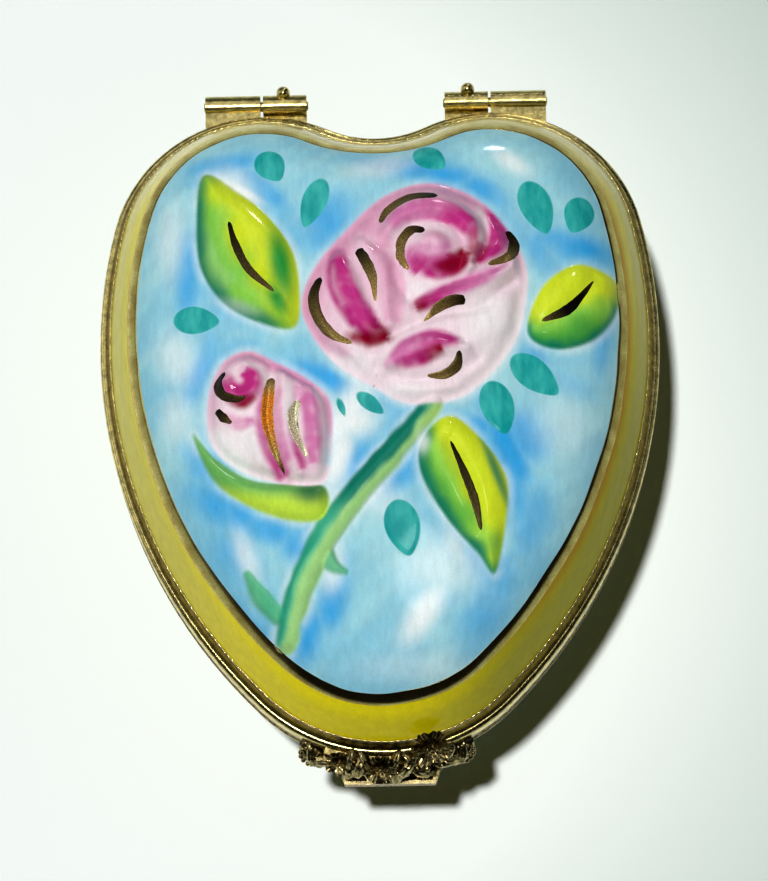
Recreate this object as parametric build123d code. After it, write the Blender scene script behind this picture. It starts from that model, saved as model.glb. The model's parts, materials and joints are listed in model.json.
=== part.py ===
"""Heart-shaped porcelain trinket box with a domed lid, two gilt metal mounts, two hinges and a floral clasp.

Frame: millimetres, +Z up, the box stands on z = 0. +Y points from the heart's tip to its lobes, so the clasp
is at -Y and the hinges are at +Y. The origin is the middle of the bounding box, at its bottom.
"""

from build123d import *
from math import asin, atan2, cos, degrees, hypot, radians, sin, sqrt
import os

# ---------------------------------------------------------------- driving dimensions
WIDTH = 50.0  # heart, side to side over the mounts
LENGTH = 59.6  # heart, tip to lobe crest over the mounts
WIDEST_AT = 38.0  # distance of the widest place from the tip
SIDE_R = 47.0  # radius of the long side curves
LOBE_X = 10.3  # lobe crests, either side of the middle
CLEFT_DEPTH = 2.3  # how far the cleft lies below the lobe crests
SEAM_Z = 16.5  # height of the joint between base and lid
SEAM_GAP = 0.03  # half the air gap between the two mounts

CROWN_Z = 11.0  # apex of the lid's plain dome, above the seam
CROWN_RX, CROWN_RY = 82.0, 150.0  # dome radii across and along
WALL_SLOPE = 2.32  # rise over run of the lid's side wall
SHOULDER_R = 6.0  # round between the side wall and the dome
PORCELAIN = 2.0  # thickness of the lid's shell

HINGE_OUT = 1.3  # pin axis beyond the lobe crests
BARREL_R, PIN_R, PIN_PLAY = 1.0, 0.45, 0.05
KNUCKLE_BASE = (6.3, 10.25)  # |x| range of the knuckle soldered to the base
KNUCKLE_LID = (10.5, 15.5)  # |x| range of the knuckle soldered to the lid
BEAD_R, BEAD_OFF, BEAD_X, BEAD_ANGLE = 0.62, 1.25, 8.4, 38.0
CATCH_OUT = 2.0  # reach of the catch tray beyond the tip

BACK_REACH = HINGE_OUT + BEAD_OFF * cos(radians(BEAD_ANGLE)) + BEAD_R
TIP_Y = CATCH_OUT - (LENGTH + CATCH_OUT + BACK_REACH) / 2
CREST_Y = TIP_Y + LENGTH
HINGE_Y = CREST_Y + HINGE_OUT
CENTRE_Y = TIP_Y + 32.0  # middle of the dome


# ---------------------------------------------------------------- heart outline, as tangent arcs
def heart_arcs(inset=0.0):
    """[(centre x, centre y, radius, start angle, end angle, sign)] going round anticlockwise from the tip.

    sign is +1 where the outline bulges outwards and -1 at the cleft. An inset outline keeps the centres.
    """
    side_x, side_y = WIDTH / 2 - SIDE_R, TIP_Y + WIDEST_AT
    # the tip arc touches the line y = TIP_Y and both side arcs from inside
    tip_r = (side_x**2 + WIDEST_AT**2 - SIDE_R**2) / (2 * (WIDEST_AT - SIDE_R))
    # the lobe arc touches the crest line and the side arc from inside
    run, rise = LOBE_X - side_x, LENGTH - WIDEST_AT
    lobe_r = (run**2 + rise**2 - SIDE_R**2) / (2 * (rise - SIDE_R))
    lobe_y = CREST_Y - lobe_r
    # the cleft arc touches both lobe arcs from outside
    down = lobe_r - CLEFT_DEPTH
    cleft_r = (LOBE_X**2 + down**2 - lobe_r**2) / (2 * (lobe_r - down))
    cleft_y = CREST_Y - CLEFT_DEPTH + cleft_r
    tip_y = TIP_Y + tip_r
    low = degrees(atan2(tip_y - side_y, -side_x))
    high = degrees(atan2(lobe_y - side_y, run))
    top = degrees(atan2(cleft_y - lobe_y, -LOBE_X))
    return [
        (0, tip_y, tip_r - inset, -180 - low, low, 1),
        (side_x, side_y, SIDE_R - inset, low, high, 1),
        (LOBE_X, lobe_y, lobe_r - inset, high, top, 1),
        (0, cleft_y, cleft_r + inset, top - 180, -top, -1),
        (-LOBE_X, lobe_y, lobe_r - inset, 180 - top, 180 - high, 1),
        (-side_x, side_y, SIDE_R - inset, 180 - high, 180 - low, 1),
    ]


def heart_face(inset, z):
    edges = []
    for cx, cy, r, start, end, _ in heart_arcs(inset):
        edges.append(CenterArc((cx, cy, z), r, start, end - start))
    return make_face(edges)


def heart_prism(inset, z_low, z_high):
    return extrude(heart_face(inset, z_low), z_high - z_low)


def section(start, *moves):
    """Edges of a closed outline. A move is a point for a line, or (through, end) for an arc."""
    edges, here = [], start
    for move in moves:
        if isinstance(move[0], tuple):
            edges.append(ThreePointArc(here, move[0], move[1]))
            here = move[1]
        else:
            edges.append(Line(here, move))
            here = move
    if here != start:
        edges.append(Line(here, start))
    return edges


def swept(profile, arcs):
    """Turns a profile round each arc's own centre and joins the pieces.

    The profile is a list as section() takes it, of (inset from the outline, height above the seam).
    """
    solids = []
    for cx, cy, r, start, end, sign in arcs:

        def place(p):
            return (r - sign * p[0], p[1])

        moves = [
            (place(m[0]), place(m[1])) if isinstance(m[0], tuple) else place(m)
            for m in profile
        ]
        a = radians(start)
        upright = Plane(origin=(cx, cy, SEAM_Z), x_dir=(cos(a), sin(a), 0), z_dir=(sin(a), -cos(a), 0))
        face = upright * make_face(section(*moves))
        solids.append(revolve(face, Axis((cx, cy, 0), (0, 0, 1)), end - start))
    return solids[0].fuse(*solids[1:]).clean() if len(solids) > 1 else solids[0]


def ring(*profile):
    return swept(list(profile), heart_arcs())


# ---------------------------------------------------------------- the dome
def crown_point(x, y):
    """Height above the seam of the plain dome, a patch of a torus, and its unit normal."""
    rho = CROWN_RY - CROWN_RX + sqrt(CROWN_RX**2 - x**2)
    z = CROWN_Z - CROWN_RY + sqrt(rho**2 - (y - CENTRE_Y) ** 2)
    nx, ny = x / CROWN_RX, (y - CENTRE_Y) / CROWN_RY
    size = sqrt(nx**2 + ny**2 + 1)
    return z, (nx / size, ny / size, 1 / size)


def under_crown(depth):
    """Everything below the dome, or below the surface that lies depth inside it."""
    rx, ry = CROWN_RX - depth, CROWN_RY - depth
    half, floor_z = WIDTH / 2 + 2, -2.0
    top = CROWN_Z - depth
    side = top - rx + sqrt(rx**2 - half**2)
    outline = section((-half, floor_z), (half, floor_z), (half, side), ((0, top), (-half, side)))
    axis_z = SEAM_Z + top - ry
    reach = degrees(asin(LENGTH * 0.6 / ry))
    face = Plane(origin=(0, CENTRE_Y, SEAM_Z), x_dir=(1, 0, 0), z_dir=(0, -1, 0)) * make_face(outline)
    face = face.rotate(Axis((0, CENTRE_Y, axis_z), (1, 0, 0)), -reach)
    return revolve(face, Axis((0, CENTRE_Y, axis_z), (1, 0, 0)), 2 * reach)


WALL_IN, WALL_FOOT = 1.0, 1.85  # where the side wall starts above the mount
SHELL_FOOT = 0.55  # bottom of the lid's porcelain
INNER_IN = 2.9  # inside face of both shells at the mounts


def wall_top(inset, foot, level):
    """Inset of the sloping wall at a level above the seam."""
    return inset + (level - foot) / WALL_SLOPE


def domed(inset, foot, bottom, depth, shoulder):
    """Solid with a sloping wall and a domed top: the outside of the lid, or its hollow."""
    level, core = CROWN_Z + 1, 9.5
    top = (wall_top(inset, foot, level), level)
    walls = ring((inset, bottom), (inset, foot), top, (core, level), (core, bottom))
    body = walls + heart_prism(core - 0.5, SEAM_Z + bottom, SEAM_Z + level)
    body = body & under_crown(depth)
    rim = [e for e in body.edges() if e.center().Z > SEAM_Z + 4 and not is_seam(e)]
    return fillet(rim, shoulder)


def is_seam(edge):
    """True for the edges that run up the wall between two arcs."""
    ends = [v.Z for v in edge.vertices()]
    return len(ends) == 2 and abs(ends[0] - ends[1]) > 1.5


def tangent_plane(x, y, heading):
    """Frame on the dome at (x, y): local X along heading degrees, local Z along the normal."""
    z, n = crown_point(x, y)
    a = radians(heading)
    along = Vector(cos(a), sin(a), 0)
    normal = Vector(*n)
    along = (along - normal * along.dot(normal)).normalized()
    return Plane(origin=(x, y, SEAM_Z + z), x_dir=along, z_dir=normal)


ROOT = 1.6  # how deep each relief reaches into the shell


def petal_mound(x, y, radius, height):
    """Low round cap that stands on the dome."""
    ball = (radius**2 + height**2) / (2 * height)
    cap = Pos(0, 0, height - ball) * Sphere(ball)
    keep = Pos(0, 0, 2 - ROOT) * Box(4 * radius, 4 * radius, 4)
    return tangent_plane(x, y, 0) * (cap & keep)


def leaf_mound(x, y, heading, length, width, height):
    """Pointed leaf with a ridge along it: what two large balls have in common."""
    ridge = (length**2 / 4 + height**2) / (2 * height)
    spread = (length**2 / 4 - width**2 / 4) / width
    ball = hypot(ridge, spread)
    low = height - ridge
    both = (Pos(0, spread, low) * Sphere(ball)) & (Pos(0, -spread, low) * Sphere(ball))
    keep = Pos(0, 0, 2 - ROOT) * Box(length * 1.6, width * 1.8, 4)
    return tangent_plane(x, y, heading) * (both & keep)


def stem_mound(start, through, end, radius, proud):
    """Half-buried round rib along an arc on the dome."""
    points = []
    for x, y in (start, through, end):
        z, _ = crown_point(x, y)
        points.append((x, y, SEAM_Z + z + proud - radius))
    path = ThreePointArc(*points)
    disc = Plane(origin=path @ 0, z_dir=path % 0) * Circle(radius)
    return sweep(disc, path=path)


# relief of the lid, y counted from the tip. Mounds: offset x, y, radius, height. Leaves: x, y, heading in
# degrees, length, width, height. Stem: start, middle, end.
ROSE = (2.8, 39.8)
ROSE_MOUNDS = [
    (0, 0, 9.3, 1.2), (-5.4, -1.6, 4.4, 0.9), (1.4, 3.2, 4.0, 1.8),
    (1.6, -5.4, 4.4, 0.9), (5.0, 0.6, 3.8, 1.0),
]
BUD = (-9.9, 28.2)
BUD_MOUNDS = [(0, 0, 5.4, 0.9), (-2.2, 2.6, 2.8, 1.1), (2.6, -1.0, 3.2, 1.1)]
LEAVES = [
    (-11.4, 43.4, -58, 13.0, 7.6, 0.7), (16.2, 38.6, 42, 8.0, 5.6, 0.6), (7.3, 21.2, -68, 13.6, 6.8, 0.7),
]
BUD_LEAF = (-10.4, 22.2, -27, 12.0, 4.0, 0.7)
STEM = ((3.4, 29.4), (-2.7, 21.4), (-8.7, 9.4))


def lid_porcelain():
    shell = domed(WALL_IN, WALL_FOOT, SHELL_FOOT, 0, SHOULDER_R)
    for dx, dy, radius, height in ROSE_MOUNDS:
        shell += petal_mound(ROSE[0] + dx, TIP_Y + ROSE[1] + dy, radius, height)
    for dx, dy, radius, height in BUD_MOUNDS:
        shell += petal_mound(BUD[0] + dx, TIP_Y + BUD[1] + dy, radius, height)
    for x, y, heading, length, width, height in LEAVES + [BUD_LEAF]:
        shell += leaf_mound(x, TIP_Y + y, heading, length, width, height)
    shell += stem_mound(*[(x, TIP_Y + y) for x, y in STEM], radius=1.1, proud=0.45)
    across = PORCELAIN * hypot(1, WALL_SLOPE) / WALL_SLOPE
    foot = WALL_FOOT + (INNER_IN - WALL_IN - across) * WALL_SLOPE
    hollow = domed(INNER_IN, foot, SHELL_FOOT - 1, PORCELAIN, SHOULDER_R - PORCELAIN)
    return shell - hollow


# ---------------------------------------------------------------- base
BASE_IN = 0.6  # outside face of the base under its mount
FLOOR_Z, RECESS_Z = -13.7, -15.7  # inside floor and underside of the base, from the seam
FOOT_IN, FOOT_W = 6.2, 1.3  # foot ring


def base_porcelain():
    core = 9.0
    walls = ring(
        (BASE_IN, -SHELL_FOOT),
        (BASE_IN, -2.6),
        ((1.9, -8.0), (4.6, -13.2)),
        ((5.5, -14.3), (FOOT_IN, -15.4)),
        (FOOT_IN, -SEAM_Z),
        (FOOT_IN + FOOT_W, -SEAM_Z),
        (FOOT_IN + FOOT_W + 0.2, RECESS_Z),
        (core, RECESS_Z),
        (core, FLOOR_Z),
        (8.2, FLOOR_Z),
        ((4.9, -11.9), (3.4, -8.4)),
        ((3.0, -5.5), (INNER_IN, -3.0)),
        (INNER_IN, -SHELL_FOOT),
    )
    return walls + heart_prism(core - 0.5, SEAM_Z + RECESS_Z, SEAM_Z + FLOOR_Z)


# ---------------------------------------------------------------- metal mounts and their bedding
CHANNEL_IN, CHANNEL_OUT = 3.1, 3.35  # inner wall of both channels
CHANNEL_Z, LIP_Z = 0.4, 1.2  # web thickness and height of the channels' inner wall
BAND_HIGH, BAND_LOW, BAND_DEEP = -0.38, -1.95, 0.25  # seat of the decorated band on the base mount


def lid_mount():
    """Channel round the lid's edge: a rolled bead outside, then a cove up to a thin lip on the porcelain."""
    return ring(
        (0, SEAM_GAP),
        (0, 0.62),
        ((0.12, 0.92), (0.42, 1.04)),
        ((0.75, 1.40), (0.96, WALL_FOOT)),
        (WALL_IN, WALL_FOOT - 0.02),
        (WALL_IN, 1.70),
        (0.88, 1.70),
        (0.88, CHANNEL_Z),
        (CHANNEL_IN, CHANNEL_Z),
        (CHANNEL_IN, LIP_Z),
        (CHANNEL_OUT, LIP_Z),
        (CHANNEL_OUT, SEAM_GAP),
    )


def lip_wire():
    """Fine wire soldered along the lid mount's lip, where it meets the porcelain."""
    r = 0.13
    x, z = wall_top(WALL_IN, WALL_FOOT, WALL_FOOT) - 0.03 - r / 2, WALL_FOOT + r
    return ring((x - r, z), ((x, z + r), (x + r, z)), ((x, z - r), (x - r, z)))


def base_mount():
    """Channel round the base's edge, with a shallow seat for the decorated band."""
    return ring(
        (0, -SEAM_GAP),
        (0, BAND_HIGH),
        (BAND_DEEP, BAND_HIGH),
        (BAND_DEEP, BAND_LOW),
        (0, BAND_LOW),
        (0, -2.12),
        ((0.10, -2.33), (0.32, -2.42)),
        (BASE_IN, -2.42),
        (BASE_IN, -2.20),
        (0.45, -2.20),
        (0.45, -CHANNEL_Z),
        (CHANNEL_IN, -CHANNEL_Z),
        (CHANNEL_IN, -LIP_Z),
        (CHANNEL_OUT, -LIP_Z),
        (CHANNEL_OUT, -SEAM_GAP),
    )


def decor_band():
    return ring((0, BAND_HIGH), (0, BAND_LOW), (BAND_DEEP, BAND_LOW), (BAND_DEEP, BAND_HIGH))


def lid_bedding():
    """Cement that holds the lid's porcelain in its channel."""
    return ring(
        (0.88, CHANNEL_Z),
        (CHANNEL_IN, CHANNEL_Z),
        (CHANNEL_IN, LIP_Z),
        (INNER_IN, LIP_Z),
        (INNER_IN, SHELL_FOOT),
        (WALL_IN, SHELL_FOOT),
        (WALL_IN, 1.70),
        (0.88, 1.70),
    )


def base_bedding():
    """Cement that holds the base's porcelain in its channel."""
    return ring(
        (0.45, -CHANNEL_Z),
        (CHANNEL_IN, -CHANNEL_Z),
        (CHANNEL_IN, -LIP_Z),
        (INNER_IN, -LIP_Z),
        (INNER_IN, -SHELL_FOOT),
        (BASE_IN, -SHELL_FOOT),
        (BASE_IN, -2.20),
        (0.45, -2.20),
    )


# ---------------------------------------------------------------- hinges
def rod(x_low, x_high, radius):
    """Round bar along X on the pin axis."""
    middle = Pos((x_low + x_high) / 2, HINGE_Y, SEAM_Z)
    return middle * Rot(0, 90, 0) * Cylinder(radius, x_high - x_low)


def knuckle(side, x_range, leg_low, leg_high, bore):
    """Barrel with a leg that is soldered to the outside of a mount."""
    x_low, x_high = sorted(side * x for x in x_range)
    leg_y = (CREST_Y - 2.0, HINGE_Y)
    leg = Pos((x_low + x_high) / 2, sum(leg_y) / 2, SEAM_Z + (leg_low + leg_high) / 2) * Box(
        x_high - x_low, leg_y[1] - leg_y[0], leg_high - leg_low
    )
    leg -= heart_prism(0, SEAM_Z - 3, SEAM_Z + 3)
    return rod(x_low, x_high, BARREL_R) + leg - rod(x_low - 1, x_high + 1, bore)


def hinge_pin(side):
    """Pin with slightly domed ends that stand a little out of the barrels."""
    proud = 0.14
    x_low, x_high = sorted((side * (KNUCKLE_BASE[0] - proud), side * (KNUCKLE_LID[1] + proud)))
    return chamfer(rod(x_low, x_high, PIN_R).edges(), 0.1)


def stop_bead(side):
    """Ball soldered high on the back of the base knuckle: the open lid's mount comes to rest on it."""
    a = radians(BEAD_ANGLE)
    ball = Pos(side * BEAD_X, HINGE_Y + BEAD_OFF * cos(a), SEAM_Z + BEAD_OFF * sin(a)) * Sphere(BEAD_R)
    return ball - rod(-20, 20, BARREL_R)


# ---------------------------------------------------------------- clasp
CLASP_HALF = 5.3  # half width of the tongue
TONGUE_FRONT, TONGUE_BACK = -0.55, -0.2  # insets of the tongue's front and of its back beside the base
TONGUE_LOW, TONGUE_HIGH = -1.1, 0.62
TRAY_LOW, TRAY_HIGH, TRAY_WALL, TRAY_FLOOR = -2.35, -1.35, 0.3, 0.35
TRAY_BACK, TRAY_FRONT = 5.2, 3.95  # half widths of the tray at its back and front
TRAY_X = 0.25  # the tray was soldered a little off the middle
WING_X = 6.7  # middle of the leaf at either end of the catch


def tip_sector(profile, half_width):
    """Sweeps a profile along the tip arc over |x| < half_width."""
    cx, cy, r, _, _, sign = heart_arcs()[0]
    reach = degrees(asin(half_width / r))
    return swept(list(profile), [(cx, cy, r, -90 - reach, -90 + reach, sign)])


def facing(x, out, z, pitch, yaw=0):
    """Frame in front of the tip: local Z looks forwards and up by pitch degrees, turned by yaw."""
    cx, cy, r, _, _, _ = heart_arcs()[0]
    y = cy - sqrt((r + out) ** 2 - x**2)
    p, w = radians(pitch), radians(yaw)
    look = (sin(w) * cos(p), -cos(w) * cos(p), sin(p))
    return Plane(origin=(x, y, SEAM_Z + z), x_dir=(cos(w), sin(w), 0), z_dir=look)


def blossom(radius, petals, height):
    """Scalloped disc with a smaller, turned layer on it and a round heart."""
    low = Cylinder(radius * 0.62, height * 0.5)
    for i in range(petals):
        a = 360 / petals * i
        low += Rot(0, 0, a) * Pos(radius * 0.62, 0, 0) * Cylinder(radius * 0.38, height * 0.5)
    high = Cylinder(radius * 0.40, height * 0.4)
    for i in range(petals):
        a = 360 / petals * (i + 0.5)
        high += Rot(0, 0, a) * Pos(radius * 0.36, 0, 0) * Cylinder(radius * 0.25, height * 0.4)
    high = Pos(0, 0, height * 0.44) * high
    return low + high + Pos(0, 0, height * 0.6) * Sphere(radius * 0.26)


def leaf_blade(length, width, thick):
    """Flat pointed leaf along local X, between two arcs."""
    side = ThreePointArc((-length / 2, 0), (0, width / 2), (length / 2, 0))
    other = ThreePointArc((length / 2, 0), (0, -width / 2), (-length / 2, 0))
    return extrude(make_face([side, other]), thick / 2, both=True)


def clasp_tongue():
    """Springy strip soldered to the lid mount: it hangs just clear of the base mount."""
    return tip_sector(
        [
            (0, 0.12),
            (0, TONGUE_HIGH),
            (TONGUE_FRONT, TONGUE_HIGH),
            (TONGUE_FRONT, TONGUE_LOW),
            (TONGUE_BACK, TONGUE_LOW),
            (TONGUE_BACK, 0.12),
        ],
        CLASP_HALF,
    )


def clasp_flower():
    """Large ruffled flower on a short stalk that is soldered to the lid mount's roll."""
    flower = blossom(1.55, 7, 1.0) + Pos(0, 0, -0.65) * Cylinder(0.45, 1.0)
    return facing(3.85, 0.15, 1.95, 56, 10) * flower - lid_mount() - clasp_tongue() - clasp_spray()


def clasp_spray():
    """Cast spray of two rosettes and leaves on a thin strip, soldered to the tongue."""
    front = TONGUE_FRONT - 0.3
    strip = tip_sector(
        [(TONGUE_FRONT, -0.75), (TONGUE_FRONT, 0.5), (front, 0.3), (front, -0.75)], CLASP_HALF - 0.3
    )
    spray = strip + facing(-3.9, 1.0, 0.1, 40, -14) * blossom(1.2, 6, 0.8)
    spray += facing(-0.5, 1.05, 0.15, 40) * blossom(1.1, 5, 0.8)
    for x, z, turn in ((-2.3, -0.35, 20), (1.4, -0.25, -10), (3.6, -0.3, 15)):
        spray += facing(x, 0.95, z, 35, 2.5 * x) * Rot(0, 0, turn) * leaf_blade(2.5, 1.1, 0.5)
    return spray - clasp_tongue()


def catch_tray():
    """Shallow tray in front of the base mount, with a thin raised border and a flat front edge."""
    front, back = TIP_Y - CATCH_OUT, TIP_Y + 1.5
    floor_z = SEAM_Z + TRAY_LOW + TRAY_FLOOR
    outer = Polyline(
        (-TRAY_FRONT, front), (TRAY_FRONT, front), (TRAY_BACK, back), (-TRAY_BACK, back), close=True
    )
    block = extrude(Pos(TRAY_X, 0, SEAM_Z + TRAY_LOW) * make_face(outer), TRAY_HIGH - TRAY_LOW)
    inner = Polyline(
        (-TRAY_FRONT + TRAY_WALL, front + TRAY_WALL),
        (TRAY_FRONT - TRAY_WALL, front + TRAY_WALL),
        (TRAY_BACK - TRAY_WALL, back + 1),
        (-TRAY_BACK + TRAY_WALL, back + 1),
        close=True,
    )
    hollow = extrude(Pos(TRAY_X, 0, floor_z) * make_face(inner), 2)
    return block - hollow - heart_prism(0, SEAM_Z - 4, SEAM_Z + 1)


def catch_spray():
    """Cast sprig that lies in the tray: three leaves along a twig."""
    z, tall = TRAY_LOW + TRAY_FLOOR, 0.55
    twig = tip_sector([(-0.75, z), (-1.15, z), (-1.15, z + 0.35), (-0.75, z + 0.35)], 3.3)
    for x, turn in ((-2.2, 25), (0.1, -20), (2.4, 15)):
        twig += facing(x, 0.95, z + tall / 2, 90) * Rot(0, 0, turn) * leaf_blade(2.0, 0.8, tall)
    return twig


def catch_wing(side):
    """Rounded leaf at either end of the catch, soldered to the base mount."""
    blade = facing(side * WING_X, 0.5, -1.35, 35, side * 25) * leaf_blade(2.5, 2.0, 1.0)
    return blade - heart_prism(0, SEAM_Z - 4, SEAM_Z + 3)


def snap_nib():
    """Low ridge on the base mount that the clasp's tongue springs over."""
    return tip_sector([(0, -0.62), ((-0.13, -0.8), (0, -0.98))], 2.0)


# ---------------------------------------------------------------- write every node
def main():
    os.makedirs("parts", exist_ok=True)
    nodes = {
        "base_porcelain": base_porcelain(),
        "base_bedding": base_bedding(),
        "base_mount": base_mount(),
        "base_decor_band": decor_band(),
        "lid_porcelain": lid_porcelain(),
        "lid_bedding": lid_bedding(),
        "lid_mount": lid_mount(),
        "lid_lip_wire": lip_wire(),
        "clasp_tongue": clasp_tongue(),
        "clasp_flower": clasp_flower(),
        "clasp_spray": clasp_spray(),
        "catch_tray": catch_tray(),
        "catch_spray": catch_spray(),
        "snap_nib": snap_nib(),
    }
    for name, side in (("left", -1), ("right", 1)):
        nodes["catch_wing_" + name] = catch_wing(side)
        nodes["base_knuckle_" + name] = knuckle(side, KNUCKLE_BASE, -0.9, -0.1, PIN_R)
        nodes["lid_knuckle_" + name] = knuckle(side, KNUCKLE_LID, 0.1, 0.62, PIN_R + PIN_PLAY)
        nodes["hinge_pin_" + name] = hinge_pin(side)
        nodes["stop_bead_" + name] = stop_bead(side)
    for name, shape in nodes.items():
        export_step(Compound(children=shape.solids()), os.path.join("parts", name + ".step"))


main()
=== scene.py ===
"""Looks of the heart-shaped porcelain trinket box: painted relief lid, gilt mounts, cast clasp and studio.

Sizes are millimetres in the CAD frame until a mesh is made, which is in metres. Heights called "level" are
counted from the seam between lid and base.
"""

import json
import math

import bpy
import numpy as np
from mathutils import Matrix, Vector

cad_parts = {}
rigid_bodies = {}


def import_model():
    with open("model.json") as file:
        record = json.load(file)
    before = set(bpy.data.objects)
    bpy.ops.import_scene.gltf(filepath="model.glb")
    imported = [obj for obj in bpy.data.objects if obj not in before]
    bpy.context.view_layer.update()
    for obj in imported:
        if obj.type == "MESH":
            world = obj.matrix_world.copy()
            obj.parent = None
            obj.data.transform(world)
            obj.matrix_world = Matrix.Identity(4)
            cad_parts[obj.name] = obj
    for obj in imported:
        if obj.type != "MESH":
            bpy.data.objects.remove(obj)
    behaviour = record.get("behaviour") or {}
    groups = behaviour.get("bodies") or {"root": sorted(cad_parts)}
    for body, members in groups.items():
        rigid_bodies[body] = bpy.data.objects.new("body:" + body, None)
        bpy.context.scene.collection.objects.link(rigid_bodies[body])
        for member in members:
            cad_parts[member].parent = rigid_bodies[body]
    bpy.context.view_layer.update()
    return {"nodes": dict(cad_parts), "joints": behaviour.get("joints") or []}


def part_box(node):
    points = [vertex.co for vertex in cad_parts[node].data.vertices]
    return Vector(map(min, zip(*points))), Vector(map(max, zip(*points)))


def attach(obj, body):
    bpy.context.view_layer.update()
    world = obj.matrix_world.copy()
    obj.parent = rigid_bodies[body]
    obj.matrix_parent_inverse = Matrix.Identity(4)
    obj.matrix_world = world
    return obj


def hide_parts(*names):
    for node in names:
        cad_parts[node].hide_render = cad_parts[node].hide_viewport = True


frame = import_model()

MM = 0.001


def node_box(name):
    """Lowest and highest corner of a CAD node."""
    low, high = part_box(name)
    return np.array(low) / MM, np.array(high) / MM


# ---------------------------------------------------------------- sizes, from the frame
MOUNT_LOW, MOUNT_HIGH = node_box("lid_mount")
SEAM_Z = float(frame["joints"][0]["pos_m"][2]) / MM
WIDTH = float(MOUNT_HIGH[0] - MOUNT_LOW[0])
TIP_Y, CREST_Y = float(MOUNT_LOW[1]), float(MOUNT_HIGH[1])
LENGTH = CREST_Y - TIP_Y
# heart: how far from the tip it is widest, radius of its sides, centre of a lobe, depth of the cleft
WIDEST_AT, SIDE_R, LOBE_X, CLEFT_DEPTH = 38.0, 47.0, 10.3, 2.3
# dome: level of its crown, and how round it is across and along
CROWN_Z, CROWN_RX, CROWN_RY = 11.0, 82.0, 150.0
CENTRE_Y = TIP_Y + 32.0
# lid's wall: inset and level of its foot, its slope, and the radius of the shoulder above it
WALL_IN, WALL_FOOT, WALL_SLOPE, SHOULDER_R = 1.0, 1.85, 2.32, 6.0
# porcelain: distance of the base's and the lid's edge from the seam, inset of the hollow, thickness
SHELL_FOOT, LID_FOOT, INNER_IN, PORCELAIN = 0.55, 0.56, 2.9, 2.0
LINE_OUT, LINE_IN = 3.14, 4.12  # insets of the burnished line round the dome
FAR = 9.0  # stands for the distance to a motif that is out of reach
BESIDE = 4.0  # how far from a motif the paint still needs its distance
FAR_INSIDE = 25.0  # stands for the inset where no arc of the heart is beside the point


# ---------------------------------------------------------------- small maths
def smooth(low, high, value):
    """0 up to low and 1 from high on, with a soft step between. It falls where low is the larger."""
    t = np.clip((value - low) / (high - low), 0.0, 1.0)
    return t * t * (3 - 2 * t)


def mix(a, b, t):
    """Colour from a, where t is 0, to b, where t is 1."""
    t = np.asarray(t)[..., None]
    return np.asarray(a) * (1 - t) + np.asarray(b) * t


def rgb(red, green, blue):
    """Linear colour of the 8-bit one a painter would pick."""
    c = np.array([red, green, blue]) / 255.0
    return np.where(c <= 0.04045, c / 12.92, ((c + 0.055) / 1.055) ** 2.4)


def spline(points, closed=False, steps=10):
    """Points along a smooth curve through the given ones."""
    p = np.array(points, float)
    if closed:
        p = np.vstack([p[-1], p, p[0], p[1]])
    else:
        p = np.vstack([2 * p[0] - p[1], p, 2 * p[-1] - p[-2]])
    t = np.linspace(0, 1, steps, endpoint=False)[:, None]
    out = []
    for a, b, c, d in zip(p[:-3], p[1:-2], p[2:-1], p[3:]):
        squared = 2 * a - 5 * b + 4 * c - d
        cubed = 3 * b - a - 3 * c + d
        out.append(0.5 * (2 * b + (c - a) * t + squared * t**2 + cubed * t**3))
    if not closed:
        out.append(p[-2][None])
    return np.vstack(out)


def cloud(x, y, scale, seed):
    """Smooth value noise from 0 to 1, with features about scale across."""
    size = 64
    grid = np.random.default_rng(seed).random((size, size))
    u, v = x / scale + 31.3, y / scale + 17.7
    i, j = np.floor(u).astype(int), np.floor(v).astype(int)
    fu, fv = u - i, v - j
    fu, fv = fu * fu * (3 - 2 * fu), fv * fv * (3 - 2 * fv)

    def at(di, dj):
        return grid[(i + di) % size, (j + dj) % size]

    low = at(0, 0) * (1 - fu) + at(1, 0) * fu
    high = at(0, 1) * (1 - fu) + at(1, 1) * fu
    return low * (1 - fv) + high * fv


def to_path(x, y, path, widths=None):
    """Distance to an open polyline and the share of its length there. widths are half widths along it."""
    best = np.full(x.shape, 1e9)
    share = np.zeros(x.shape)
    ends = np.r_[0, np.cumsum(np.hypot(*np.diff(path, axis=0).T))]
    total = ends[-1]
    for k, (a, b) in enumerate(zip(path[:-1], path[1:])):
        run = b - a
        t = np.clip(((x - a[0]) * run[0] + (y - a[1]) * run[1]) / max(run @ run, 1e-12), 0, 1)
        gap = np.hypot(x - a[0] - t * run[0], y - a[1] - t * run[1])
        here = (ends[k] + t * (ends[k + 1] - ends[k])) / total
        if widths is not None:
            gap = gap - np.interp(here, np.linspace(0, 1, len(widths)), widths)
        closer = gap < best
        best = np.where(closer, gap, best)
        share = np.where(closer, here, share)
    return best, share


def to_loop(x, y, loop):
    """Signed distance to a closed polyline, negative inside."""
    ring = np.vstack([loop, loop[:1]])
    gap, _ = to_path(x, y, ring)
    inside = np.zeros(x.shape, bool)
    for a, b in zip(ring[:-1], ring[1:]):
        crosses = (a[1] > y) != (b[1] > y)
        rise = b[1] - a[1] if abs(b[1] - a[1]) > 1e-12 else 1e-12
        inside ^= crosses & (x < (b[0] - a[0]) * (y - a[1]) / rise + a[0])
    return np.where(inside, -gap, gap)


def near(x, y, points, margin, find, far=FAR):
    """Runs find on the points within margin of a shape, and gives far elsewhere."""
    low, high = points.min(0) - margin, points.max(0) + margin
    close = (x > low[0]) & (x < high[0]) & (y > low[1]) & (y < high[1])
    out = np.full(x.shape, float(far))
    out[close] = find(x[close], y[close])
    return out


def loop_gap(x, y, loop, margin=1.0):
    """Signed distance to a closed shape, where it is within margin."""
    return near(x, y, loop, margin, lambda u, v: to_loop(u, v, loop))


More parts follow.
